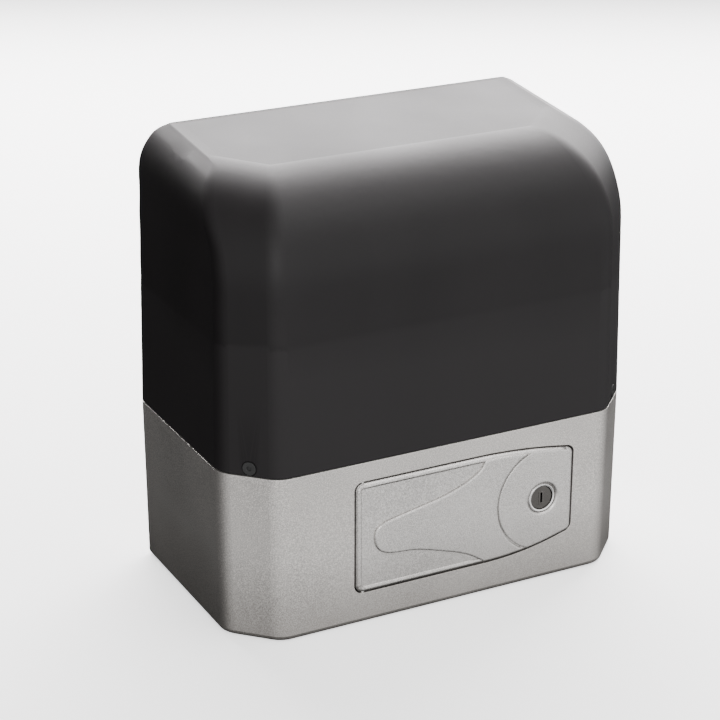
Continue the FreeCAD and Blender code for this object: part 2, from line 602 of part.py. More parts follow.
def gearbox_outline(y0, y1, room):
    """Round the wheel and along the worm, room mm larger than the inner space."""
    wheel = rod((OUT_X, y0, OUT_Z), (OUT_X, y1, OUT_Z), WHEEL_ROOM_R + room)
    worm = block(ROT_X - 17 - room, OUT_X, y0, y1, 30 - 3.6 * room, 96 + 3.2 * room)
    return wheel.fuse(worm).removeSplitter()


def gearbox_screw_places():
    r = WHEEL_ROOM_R + BOX_WALL + 3
    ring = [(OUT_X + r * math.cos(math.radians(a)), OUT_Z + r * math.sin(math.radians(a)))
            for a in (-48, 0, 48)]
    return ring + [(ROT_X - 18.5, 22), (ROT_X - 18.5, 102)]


def gearbox_lugs(y0, y1):
    return [rod((x, y0, z), (x, y1, z), BOX_LUG_R) for x, z in gearbox_screw_places()]


def gearbox_case():
    body = gearbox_outline(BOX_FRONT, BOX_BACK, BOX_WALL)
    feet = block(ROT_X - 20, OUT_X + 40, BOX_FRONT, BOX_BACK, FLOOR, 20)
    boss = turned_y(OUT_X, OUT_Z, [(0, BOX_BACK - 1), (BEARING_R + 6.5, BOX_BACK - 1),
                                   (BEARING_R + 4.5, BOX_BACK + 13), (0, BOX_BACK + 13)])
    body = joined([body, feet, boss] + gearbox_lugs(BOX_FRONT, BOX_BACK))
    body = body.cut(gearbox_outline(BOX_FRONT - 1, BOX_BACK - 4, 0))
    shoulder, shaft_room = BOX_BACK - 9, WORM_SHAFT_R + 3
    cuts = [rod((OUT_X, shoulder, OUT_Z), (OUT_X, BOX_BACK + 12, OUT_Z), BEARING_R),
            rod((OUT_X, shoulder, OUT_Z), (OUT_X, BOX_BACK + 21, OUT_Z), SHAFT_R + 4),
            rod((ROT_X, ROT_Y, WORM_LOW_Z), (ROT_X, ROT_Y, WORM_LOW_Z + 22), WORM_BEARING_R),
            rod((ROT_X, ROT_Y, WORM_LOW_Z - 2), (ROT_X, ROT_Y, WORM_LOW_Z + 22), shaft_room),
            rod((ROT_X, ROT_Y, WORM_HIGH_Z - 9), (ROT_X, ROT_Y, WORM_HIGH_Z + WORM_BEARING_W), WORM_BEARING_R),
            rod((ROT_X, ROT_Y, WORM_HIGH_Z - 9), (ROT_X, ROT_Y, BOX_TOP + 8), shaft_room)]
    cuts += [rod((x, BOX_FRONT - 1, z), (x, BOX_FRONT + 12, z), BOX_SCREW_R) for x, z in gearbox_screw_places()]
    return body.cut(cuts)


def gearbox_lid():
    y0, y1 = BOX_FRONT - LID, BOX_FRONT
    plate = gearbox_outline(y0, y1, BOX_WALL)
    nose = BOX_FRONT - 20
    guide = turned_y(OUT_X, OUT_Z, [(0, GUIDE_FRONT), (9, GUIDE_FRONT), (10, nose), (BEARING_R + 2.5, nose + 2),
                                    (BEARING_R + 4.5, y0 + 1), (0, y0 + 1)])
    arm = WHEEL_ROOM_R - 1
    ribs = [block(OUT_X - arm, OUT_X + arm, y0 - 5, y0 + 1, OUT_Z - 1.5, OUT_Z + 1.5),
            block(OUT_X - 1.5, OUT_X + 1.5, y0 - 5, y0 + 1, OUT_Z - arm, OUT_Z + arm)]
    body = joined([plate, guide] + ribs + gearbox_lugs(y0, y1))
    cuts = [rod((OUT_X, BOX_FRONT - 16, OUT_Z), (OUT_X, y1 + 1, OUT_Z), BEARING_R),
            rod((OUT_X, GUIDE_FRONT - 1, OUT_Z), (OUT_X, BOX_FRONT, OUT_Z), PLUNGER_R + RUN)]
    cuts += [rod((x, y0 - 1, z), (x, y1 + 1, z), BOX_SCREW_R) for x, z in gearbox_screw_places()]
    return body.cut(cuts)


def gearbox_screws():
    screws = []
    y = BOX_FRONT - LID
    for x, z in gearbox_screw_places():
        head = rod((x, y - 4, z), (x, y, z), 4.2)
        shank = rod((x, y, z), (x, BOX_FRONT + 11, z), BOX_SCREW_R)
        screws.append(head.fuse(shank).cut(rod((x, y - 5, z), (x, y - 2, z), 2.2)))
    return Part.makeCompound(screws)


# ---------------------------------------------------------------- output

def key_spans():
    return [(WHEEL_Y - 9, WHEEL_Y + 9), (PINION_Y + 2, PINION_Y + PINION_WIDTH - 2)]


def keyway(y0, y1, low, high):
    return block(OUT_X - KEY_WIDE / 2, OUT_X + KEY_WIDE / 2, y0, y1, OUT_Z + low, OUT_Z + high)


def output_shaft():
    front, back = BOX_FRONT - 14, PINION_Y + PINION_WIDTH
    body = turned_y(OUT_X, OUT_Z, [(0, front), (SHAFT_R - 1, front), (SHAFT_R, front + 1), (SHAFT_R, back - 1),
                                   (SHAFT_R - 1, back), (0, back)])
    tapped = rod((OUT_X, back - BOLT_DEPTH - 1, OUT_Z), (OUT_X, back + 1, OUT_Z), BOLT_R)
    return body.cut([tapped] + [keyway(a, b, KEY_LOW, SHAFT_R + 1) for a, b in key_spans()])


def shaft_keys():
    return Part.makeCompound([keyway(a, b, KEY_LOW, KEY_HIGH) for a, b in key_spans()])


def wheel_tooth():
    """One worm-wheel tooth at the worm side, leaning with the worm's lead."""
    r, m = WHEEL_PITCH_R, WORM_MODULE
    root, tip = r - 1.3 * m, r + 0.86 * m
    half = (LEAD / 2 - TOOTH_THIN) / 2
    spread = math.tan(PRESSURE)
    wide, slim = half + (r - root) * spread, half - (tip - r) * spread * 1.25
    y0, run = WHEEL_Y - WHEEL_WIDTH / 2 - 2, WHEEL_WIDTH + 4
    lean = LEAD / (2 * math.pi * WORM_PITCH_R)
    rise = -lean * run / 2
    pts = [V(OUT_X - root, y0, OUT_Z + rise - wide), V(OUT_X - tip, y0, OUT_Z + rise - slim),
           V(OUT_X - tip, y0, OUT_Z + rise + slim), V(OUT_X - root, y0, OUT_Z + rise + wide)]
    return Part.Face(Part.makePolygon(pts + pts[:1])).extrude(V(0, run, lean * run))


def worm_wheel_rim():
    y0, y1 = WHEEL_Y - WHEEL_WIDTH / 2, WHEEL_Y + WHEEL_WIDTH / 2
    teeth = []
    for k in range(WHEEL_TEETH):
        tooth = wheel_tooth()
        tooth.rotate(V(OUT_X, 0, OUT_Z), V(0, 1, 0), 360.0 * k / WHEEL_TEETH)
        teeth.append(tooth)
    ring = rod((OUT_X, y0 - 2, OUT_Z), (OUT_X, y1 + 2, OUT_Z), WHEEL_PITCH_R - 1.24 * WORM_MODULE)
    body = ring.multiFuse(teeth)
    width = rod((OUT_X, y0, OUT_Z), (OUT_X, y1, OUT_Z), WHEEL_PITCH_R + 4)
    return body.common(width).cut(rod((OUT_X, y0 - 1, OUT_Z), (OUT_X, y1 + 1, OUT_Z), WHEEL_BORE_R))


def worm_wheel_hub():
    y0, y1 = WHEEL_Y - WHEEL_WIDTH / 2, WHEEL_Y + WHEEL_WIDTH / 2
    web, land, hole_circle = 4.0, WHEEL_BORE_R - 4, HUB_R + 4
    hub = turned_y(OUT_X, OUT_Z, [
        (SHAFT_R, y0 - 1), (HUB_R, y0 - 1), (HUB_R, WHEEL_Y - web), (land, WHEEL_Y - web), (land, y0),
        (WHEEL_BORE_R, y0), (WHEEL_BORE_R, y1), (land, y1), (land, WHEEL_Y + web), (HUB_R, WHEEL_Y + web),
        (HUB_R, y1 + 2), (SHAFT_R, y1 + 2)])
    holes = []
    for k in range(6):
        a = math.radians(30 + 60 * k)
        x, z = OUT_X + hole_circle * math.cos(a), OUT_Z + hole_circle * math.sin(a)
        holes.append(rod((x, y0, z), (x, y1, z), 3.0))
    return hub.cut(holes + [keyway(y0 - 3, y1 + 3, KEY_LOW, KEY_HIGH)])


def involute(base_r, r, turn, hand):
    t = math.sqrt(max((r / base_r) ** 2 - 1, 0.0))
    a = turn + hand * (t - math.atan(t))
    return V(OUT_X + r * math.cos(a), 0, OUT_Z + r * math.sin(a))


def pinion():
    m, n = PINION_MODULE, PINION_TEETH
    pitch_r = m * n / 2
    base_r, tip_r, root_r = pitch_r * math.cos(PRESSURE), pitch_r + m, pitch_r - 1.25 * m
    half = math.pi / 2 / n - 0.004 + math.tan(PRESSURE) - PRESSURE
    radii = [base_r + (tip_r - base_r) * k / 4 for k in range(5)]
    edges = []
    for k in range(n):
        mid = 2 * math.pi * k / n
        rising = [involute(base_r, r, mid - half, 1) for r in radii]
        falling = [involute(base_r, r, mid + half, -1) for r in radii]
        root = [V(OUT_X + root_r * math.cos(a), 0, OUT_Z + root_r * math.sin(a))
                for a in (mid - half, mid + half, mid + math.pi / n, mid + 2 * math.pi / n - half)]
        tip = V(OUT_X + tip_r * math.cos(mid), 0, OUT_Z + tip_r * math.sin(mid))
        flanks = []
        for pts in (rising, falling):
            curve = Part.BSplineCurve()
            curve.interpolate(pts)
            flanks.append(curve.toShape())
        edges += [Part.LineSegment(root[0], rising[0]).toShape(), flanks[0],
                  Part.Arc(rising[-1], tip, falling[-1]).toShape(), flanks[1],
                  Part.LineSegment(falling[0], root[1]).toShape(),
                  Part.Arc(root[1], root[2], root[3]).toShape()]
    face = Part.Face(Part.Wire(Part.__sortEdges__(edges)))
    face.translate(V(0, PINION_Y, 0))
    body = face.extrude(V(0, PINION_WIDTH, 0))
    y0, y1 = PINION_Y, PINION_Y + PINION_WIDTH
    blank = turned_y(OUT_X, OUT_Z, [(0, y0), (tip_r - 1.6, y0), (tip_r + 0.2, y0 + 1.8),
                                    (tip_r + 0.2, y1 - 1.8), (tip_r - 1.6, y1), (0, y1)])
    body = body.common(blank)
    return body.cut([rod((OUT_X, y0 - 1, OUT_Z), (OUT_X, y1 + 1, OUT_Z), SHAFT_R),
                     keyway(y0 - 1, y1 + 1, 0, KEY_HIGH)])


def pinion_spacer():
    return tube((OUT_X, REAR + 0.6, OUT_Z), (OUT_X, PINION_Y, OUT_Z), SPACER_R, SHAFT_R)


def pinion_washer():
    y = PINION_Y + PINION_WIDTH
    return tube((OUT_X, y, OUT_Z), (OUT_X, y + 3, OUT_Z), SPACER_R, BOLT_R)


def pinion_bolt():
    y = PINION_Y + PINION_WIDTH + 3
    r = BOLT_ACROSS / math.sqrt(3)
    head = plate_xz(hexagon(OUT_X, OUT_Z, BOLT_ACROSS), y, y + 5.3)
    dome = turned_y(OUT_X, OUT_Z, [(0, y), (r + 1, y), (r + 0.6, y + 3.6), (r - 1.2, y + 5.3), (0, y + 5.3)])
    return head.common(dome).fuse(rod((OUT_X, y - 3 - BOLT_DEPTH, OUT_Z), (OUT_X, y + 0.1, OUT_Z), BOLT_R))


# ---------------------------------------------------------------- motor

def worm_thread():
    half = (LEAD / 2 - TOOTH_THIN) / 2
    spread = math.tan(PRESSURE)
    r_in, r_out = WORM_PITCH_R - 1.4 * WORM_MODULE, WORM_PITCH_R + 0.86 * WORM_MODULE
    wide, slim = half + (WORM_PITCH_R - r_in) * spread, half - (r_out - WORM_PITCH_R) * spread * 1.25
    turns = int(WORM_LENGTH / LEAD)
    coil = Part.makeHelix(LEAD, turns * LEAD, WORM_PITCH_R)
    pts = [V(r_in, 0, -wide), V(r_out, 0, -slim), V(r_out, 0, slim), V(r_in, 0, wide)]
    thread = coil.makePipeShell([Part.makePolygon(pts + pts[:1])], True, True)
    thread.translate(V(ROT_X, ROT_Y, OUT_Z - LEAD * turns / 2))
    return thread


def worm_shaft():
    core, r, foot = WORM_PITCH_R - 1.22 * WORM_MODULE, WORM_SHAFT_R, WORM_LOW_Z + 0.4
    z0, z1 = OUT_Z - WORM_LENGTH / 2 - 3, OUT_Z + WORM_LENGTH / 2 + 3
    body = turned_z(ROT_X, ROT_Y, [
        (0, foot), (r - 1, foot), (r, foot + 1), (r, z0 - 4), (core, z0), (core, z1), (r, z1 + 4),
        (r, MOTOR_SHAFT_TOP - 1), (r - 1, MOTOR_SHAFT_TOP), (0, MOTOR_SHAFT_TOP)])
    return body.fuse(worm_thread())


def motor_tube(z0, z1, r_out, r_in):
    return tube((ROT_X, ROT_Y, z0), (ROT_X, ROT_Y, z1), r_out, r_in)


def rotor_core():
    rings = [motor_tube(a, b, ROTOR_R - 2, ROTOR_R - 9)
             for a, b in [(STATOR_Z0 - 5, STATOR_Z0), (STATOR_Z1, STATOR_Z1 + 5)]]
    return joined([motor_tube(STATOR_Z0, STATOR_Z1, ROTOR_R, WORM_SHAFT_R)] + rings)


def cooling_fan():
    hub_r = WORM_SHAFT_R + 5
    hub = motor_tube(FAN_Z, FAN_Z + FAN_HEIGHT + 2, hub_r, WORM_SHAFT_R)
    disc = motor_tube(FAN_Z, FAN_Z + 2, FAN_R, hub_r - 1)
    blades = []
    for k in range(FAN_BLADES):
        blade = block(ROT_X + hub_r - 1, ROT_X + FAN_R - 1, ROT_Y - 1, ROT_Y + 1, FAN_Z + 1, FAN_Z + FAN_HEIGHT)
        blade.rotate(V(ROT_X + hub_r - 1, ROT_Y, 0), V(0, 0, 1), 18)
        blade.rotate(V(ROT_X, ROT_Y, 0), V(0, 0, 1), 360.0 * k / FAN_BLADES)
        blades.append(blade)
    trim = rod((ROT_X, ROT_Y, FAN_Z - 1), (ROT_X, ROT_Y, FAN_Z + 30), FAN_R)
    return joined([hub, disc] + blades).common(trim)


def tie_places():
    d = TIE_CIRCLE * math.sqrt(0.5)
    return [(ROT_X + i * d, ROT_Y + j * d) for i, j in four_corners(1, 1)]


def motor_ears(z0, z1):
    return [rod((x, y, z0), (x, y, z1), TIE_EAR_R) for x, y in tie_places()]


def tie_cuts():
    return [rod((x, y, BOX_TOP - 1), (x, y, SHIELD_TOP + 1), TIE_R) for x, y in tie_places()]


def motor_flange():
    r_out, floor = STATOR_R + 2, BOX_TOP + 8
    bell = turned_z(ROT_X, ROT_Y, [
        (WORM_SHAFT_R + 4, BOX_TOP), (r_out + 2, BOX_TOP), (r_out + 2, floor), (r_out, floor + 4),
        (r_out, STATOR_Z0), (r_out - BELL_WALL, STATOR_Z0), (r_out - BELL_WALL, floor),
        (WORM_SHAFT_R + 4, floor)])
    return joined([bell] + motor_ears(BOX_TOP, floor) + motor_ears(STATOR_Z0 - 8, STATOR_Z0)).cut(tie_cuts())


def motor_top_shield():
    z0, z1, r_out, r_in = STATOR_Z1, SHIELD_TOP, STATOR_R + 2, STATOR_R + 2 - BELL_WALL
    seat, bore = TOP_BEARING_R, WORM_SHAFT_R + 3
    bell = turned_z(ROT_X, ROT_Y, [
        (r_in, z0), (r_out, z0), (r_out, z1 - 6), (r_out - 6, z1), (bore, z1), (bore, z1 - 2), (seat, z1 - 2),
        (seat, z1 - 2 - TOP_BEARING_W), (seat + 4, z1 - 2 - TOP_BEARING_W), (seat + 6, z1 - 5), (r_in, z1 - 6)])
    return joined([bell] + motor_ears(z0, z0 + 8)).cut(tie_cuts())


def stator_stack():
    body = motor_tube(STATOR_Z0, STATOR_Z1, STATOR_R, STATOR_BORE)
    grooves = []
    for k in range(12):
        a = math.radians(30 * k + 15)
        x, y = ROT_X + (STATOR_R + 1) * math.cos(a), ROT_Y + (STATOR_R + 1) * math.sin(a)
        grooves.append(rod((x, y, STATOR_Z0 - 1), (x, y, STATOR_Z1 + 1), 2.4))
    return body.cut(grooves)


def stator_windings():
    r_in, r_out = STATOR_BORE + 3, STATOR_R - 4.5
    rings = []
    for z0, z1 in [(STATOR_Z0 - 16, STATOR_Z0), (STATOR_Z1, STATOR_Z1 + 13)]:
        rings.append(turned_z(ROT_X, ROT_Y, [
            (r_in, z0 + 3), (r_in + 2.5, z0), (r_out - 3, z0), (r_out, z0 + 3), (r_out, z1 - 3),
            (r_out - 1.5, z1), (r_in + 1.5, z1), (r_in, z1 - 3)]))
    return Part.makeCompound(rings)


def motor_tie_bolts():
    bolts = []
    for x, y in tie_places():
        head = hexagon_z(x, y, 8, STATOR_Z1 + 8, STATOR_Z1 + 13)
        bolts.append(rod((x, y, BOX_TOP + 2), (x, y, STATOR_Z1 + 9), TIE_R).fuse(head))
    return Part.makeCompound(bolts)


# ---------------------------------------------------------------- electrical deck

def deck_plate():
    left, step, right = 24.0, 76.0, RIGHT - 12
    front, back, half = FRONT + 24, REAR - 12, 34.0
    outline = [(left, front), (step, front), (step, -half), (right, -half), (right, half), (step, half),
               (step, back), (left + 26, back), (left + 26, back - 18), (left, back - 18)]
    arm = block(-left, left + 1, front, front + 12, DECK_Z, DECK_TOP)
    body = plate_xy(outline, DECK_Z, DECK_TOP).fuse(arm).removeSplitter()
    return body.cut([rod((x, y, DECK_Z - 1), (x, y, DECK_TOP + 1), 9.0) for x, y in CABLE_HOLES])


def deck_screws():
    screws = []
    for x, y in DECK_POSTS:
        slot = block(x - 3, x + 3, y - 0.5, y + 0.5, DECK_TOP + 1.2, DECK_TOP + 3)
        screws.append(rod((x, y, DECK_TOP), (x, y, DECK_TOP + 2.2), 3.6).cut(slot))
    return Part.makeCompound(screws)


def board_corners():
    return [(x, z) for x in (BOARD_X0 + BOARD_INSET, BOARD_X1 - BOARD_INSET)
            for z in (BOARD_Z0 + BOARD_INSET, BOARD_Z1 - BOARD_INSET)]


def board_bracket():
    y0, sheet_t = BOARD_Y + BOARD_T + 4, 2.5
    sheet = block(BOARD_X0 - 4, BOARD_X1 + 4, y0, y0 + sheet_t, DECK_TOP, BOARD_Z1 + 4)
    foot = block(BOARD_X0 + 34, BOARD_X1 - 6, y0, y0 + 12, DECK_TOP, DECK_TOP + sheet_t)
    studs = [rod((x, BOARD_Y + BOARD_T, z), (x, y0 + 1, z), 3.5) for x, z in board_corners()]
    ribs = [block(x, x + sheet_t, y0, y0 + 9, DECK_TOP, BOARD_Z0 + 50) for x in (BOARD_X0 + 36, BOARD_X1 - 10)]
    return joined([sheet, foot] + studs + ribs)


def control_board():
    board = block(BOARD_X0, BOARD_X1, BOARD_Y, BOARD_Y + BOARD_T, BOARD_Z0, BOARD_Z1)
    return board.cut([rod((x, BOARD_Y - 1, z), (x, BOARD_Y + 3, z), BOARD_SCREW_R) for x, z in board_corners()])


def on_board(across, up, wide, high, out):
    """A block on the board: its corner from the board's lower left, and its size."""
    x, z = BOARD_X0 + across, BOARD_Z0 + up
    return block(x, x + wide, BOARD_Y - out, BOARD_Y, z, z + high)


def board_relays():
    return Part.makeCompound([on_board(x, 42, 15, 28, 16) for x in (12, 31, 50)])


def board_chips():
    return Part.makeCompound([on_board(78, 48, 14, 14, 1.8), on_board(102, 42, 22, 10, 3),
                              on_board(70, 77, 20, 17, 7), on_board(98, 72, 10, 10, 5),
                              on_board(112, 72, 10, 10, 5)])


def board_capacitors():
    z = BOARD_Z0 + 86
    return Part.makeCompound([rod((x, BOARD_Y - 16, z), (x, BOARD_Y, z), 6.0)
                              for x in (BOARD_X0 + 22, BOARD_X0 + 40)])


def terminal_blocks():
    blocks, z0 = [], BOARD_Z0 + 6
    for x0, poles in [(BOARD_X0 + 12, 5), (BOARD_X0 + 70, 6)]:
        body = block(x0, x0 + POLE * poles, BOARD_Y - 13, BOARD_Y, z0, z0 + 12)
        for k in range(poles):
            x = x0 + POLE * (k + 0.5)
            body = body.cut([rod((x, BOARD_Y - 14, z0 + 8.4), (x, BOARD_Y - 11, z0 + 8.4), 2.4),
                             block(x - 2.6, x + 2.6, BOARD_Y - 11, BOARD_Y - 4, z0 - 1, z0 + 4)])
        blocks.append(body)
    return Part.makeCompound(blocks)


def fuse_holder():
    x, z = BOARD_X0 + 16, BOARD_Z0 + 29.5
    cradle = on_board(16, 25, 26, 9, 5)
    return cradle.fuse(rod((x + 2, BOARD_Y - 7, z), (x + 24, BOARD_Y - 7, z), 3.0))


def transformer_core():
    x0, x1 = CORE_X - CORE_WIDE / 2, CORE_X + CORE_WIDE / 2
    y0, y1 = CORE_Y - CORE_DEEP / 2, CORE_Y + CORE_DEEP / 2
    body = block(x0, x1, y0, y1, DECK_TOP, DECK_TOP + CORE_HIGH)
    feet = block(x0 - 4, x1 + 4, y0 + 6, y1 - 6, DECK_TOP, DECK_TOP + 2.5)
    windows = [block(x0 - 1, x1 + 1, a, a + CORE_LEG, DECK_TOP + 10, DECK_TOP + CORE_HIGH - 10)
               for a in (CORE_Y - CORE_LEG * 1.5, CORE_Y + CORE_LEG * 0.5)]
    return body.fuse(feet).cut(windows)


def transformer_coil():
    half_x, half_y = CORE_WIDE / 2 + 7, CORE_LEG * 1.5 - 0.5
    low, high = DECK_TOP + 10.5, DECK_TOP + CORE_HIGH - 10.5
    ring = pillar(CORE_X - half_x, CORE_X + half_x, CORE_Y - half_y, CORE_Y + half_y, low, high, 5)
    leg_x, leg_y = CORE_WIDE / 2 + 0.1, CORE_LEG / 2 + 0.1
    return ring.cut(block(CORE_X - leg_x, CORE_X + leg_x, CORE_Y - leg_y, CORE_Y + leg_y, low - 1, high + 1))


def run_capacitor():
    z0, z1, r = DECK_TOP, DECK_TOP + CAN_HIGH, CAN_R
    return turned_z(CAN_X, CAN_Y, [(0, z0), (r - 1, z0), (r, z0 + 1), (r, z1 - 2), (r - 1.5, z1), (0, z1)])


def capacitor_clip():
    low, band_r = DECK_TOP + 30, CAN_R + 1.5
    band = tube((CAN_X, CAN_Y, low), (CAN_X, CAN_Y, low + 10), band_r, CAN_R)
    leg_y = CAN_Y + CAN_R + 0.6
    leg = block(CAN_X - 5, CAN_X + 5, leg_y, leg_y + 1.8, DECK_TOP, low + 10)
    foot = block(CAN_X - 5, CAN_X + 5, leg_y, leg_y + 11.4, DECK_TOP, DECK_TOP + 1.8)
    return joined([band, leg, foot])


# ---------------------------------------------------------------- limit switch and lever

def limit_switch_housing():
    y1 = REAR - BASE_WALL - 4
    y0, wall = y1 - SWITCH_DEEP, SWITCH_WALL
    x0, x1, z0, z1 = LEVER_X - 7, LEVER_X + 27, LEVER_Z - 12, LEVER_Z + 28
    room = block(x0 + wall, x1 - wall, y0 + wall, y1 - wall, z0 + wall, z1 - wall)
    hole = rod((LEVER_X, y1 - wall - 1, LEVER_Z), (LEVER_X, y1 + 1, LEVER_Z), LEVER_R + RUN)
    return pillar(x0, x1, y0, y1, z0, z1, 1.0).cut([room, hole])


def limit_microswitches():
    y0 = REAR - BASE_WALL - 4 - SWITCH_DEEP + SWITCH_WALL
    return block(LEVER_X + 8, LEVER_X + 24, y0, y0 + 10, LEVER_Z + 8, LEVER_Z + 22)


def limit_spindle():
    y0, collar, y1 = REAR - BASE_WALL - 4 - SWITCH_DEEP + SWITCH_WALL + 1, REAR + 2.5, WAND_Y + 4.5
    body = turned_y(LEVER_X, LEVER_Z, [
        (0, y0), (LEVER_R, y0), (LEVER_R, collar), (5.4, collar), (5.4, y1 - 0.8), (4.6, y1), (0, y1)])
    return body.fuse(rod((LEVER_X, WAND_Y, LEVER_Z), (LEVER_X, WAND_Y, WAND_FOOT), WAND_R + 1.0))


def limit_spring():
    return rod((LEVER_X, WAND_Y, WAND_FOOT), (LEVER_X, WAND_Y, WAND_TOP), WAND_R)


def limit_tip():
    z, r = WAND_TOP, WAND_R + 1
    return turned_z(LEVER_X, WAND_Y, [(0, z), (r - 0.6, z), (r, z + 1.5), (r, z + 6), (r - 1.6, z + 8.5),
                                      (0, z + 9)])


# ---------------------------------------------------------------- bearings and seal

def output_bearing(y):
    return bearing_y(OUT_X, OUT_Z, y, BEARING_W, SHAFT_R + RUN, BEARING_R)


def output_bearings():
    return Part.makeCompound([output_bearing(BOX_FRONT - 16), output_bearing(BOX_BACK + 12 - BEARING_W)])


def worm_bearings():
    return Part.makeCompound([bearing_z(ROT_X, ROT_Y, z, WORM_BEARING_W, WORM_SHAFT_R + RUN, WORM_BEARING_R)
                              for z in (WORM_LOW_Z, WORM_HIGH_Z)])


def motor_bearing_top():
    low = SHIELD_TOP - 2 - TOP_BEARING_W
    return bearing_z(ROT_X, ROT_Y, low, TOP_BEARING_W, WORM_SHAFT_R + RUN, TOP_BEARING_R)


def shaft_seal():
    y, lip = REAR - SEAL_DEEP, SHAFT_R + RUN
    return turned_y(OUT_X, OUT_Z, [(lip, y - 1.5), (SHAFT_R + 2, y - 5), (SEAL_R - 2.5, y - 7), (SEAL_R, y - 7),
                                   (SEAL_R, y), (SHAFT_R + 2, y), (lip, y - 0.8)])


NODES = [base_housing, cover_gasket, levelling_screws, cable_grommets, cover, cover_screws, release_pan,
         door_panel, door_tongue, lock_surround, lock_barrel, lock_core, lock_cam, lock_nut, door_hinge_pin,
         release_bush, release_plunger, release_spring, gearbox_case, gearbox_lid, gearbox_screws,
         output_shaft, shaft_keys, worm_wheel_rim, worm_wheel_hub, pinion, pinion_spacer, pinion_washer,
         pinion_bolt, worm_shaft, rotor_core, cooling_fan, motor_flange, motor_top_shield, stator_stack,
         stator_windings, motor_tie_bolts, deck_plate, deck_screws, board_bracket, control_board,
         board_relays, board_chips, board_capacitors, terminal_blocks, fuse_holder, transformer_core,
         transformer_coil, run_capacitor, capacitor_clip, limit_switch_housing, limit_microswitches,
         limit_spindle, limit_spring, limit_tip, output_bearings, worm_bearings, motor_bearing_top, shaft_seal]

os.makedirs("parts", exist_ok=True)
for make in NODES:
    make().exportStep("parts/" + make.__name__ + ".step")
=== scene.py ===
import json
import math
import random

import bmesh
import bpy
from mathutils import Matrix, Vector


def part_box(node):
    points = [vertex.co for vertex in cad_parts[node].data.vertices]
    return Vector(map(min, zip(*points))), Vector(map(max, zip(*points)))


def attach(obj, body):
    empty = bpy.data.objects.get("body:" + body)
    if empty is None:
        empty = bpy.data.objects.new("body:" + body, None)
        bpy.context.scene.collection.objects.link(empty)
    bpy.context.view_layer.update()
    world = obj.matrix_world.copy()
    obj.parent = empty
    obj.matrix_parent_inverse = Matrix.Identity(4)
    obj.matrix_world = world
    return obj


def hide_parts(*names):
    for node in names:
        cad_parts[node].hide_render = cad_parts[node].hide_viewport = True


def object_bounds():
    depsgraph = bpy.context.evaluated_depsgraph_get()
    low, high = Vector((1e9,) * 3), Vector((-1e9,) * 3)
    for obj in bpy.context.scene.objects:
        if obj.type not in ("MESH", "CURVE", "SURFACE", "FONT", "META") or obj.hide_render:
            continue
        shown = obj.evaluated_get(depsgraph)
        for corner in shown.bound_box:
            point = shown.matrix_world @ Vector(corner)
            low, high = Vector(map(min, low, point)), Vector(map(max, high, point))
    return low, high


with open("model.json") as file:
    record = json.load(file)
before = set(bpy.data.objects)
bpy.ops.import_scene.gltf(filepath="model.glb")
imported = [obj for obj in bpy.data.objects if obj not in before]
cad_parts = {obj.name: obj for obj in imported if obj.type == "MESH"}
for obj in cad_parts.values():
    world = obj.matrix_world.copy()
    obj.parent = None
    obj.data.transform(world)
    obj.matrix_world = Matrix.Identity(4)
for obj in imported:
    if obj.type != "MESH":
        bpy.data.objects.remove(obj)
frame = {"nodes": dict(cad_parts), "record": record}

CAD_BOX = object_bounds()
MM = 0.001


# ---------------------------------------------------------------- node helpers

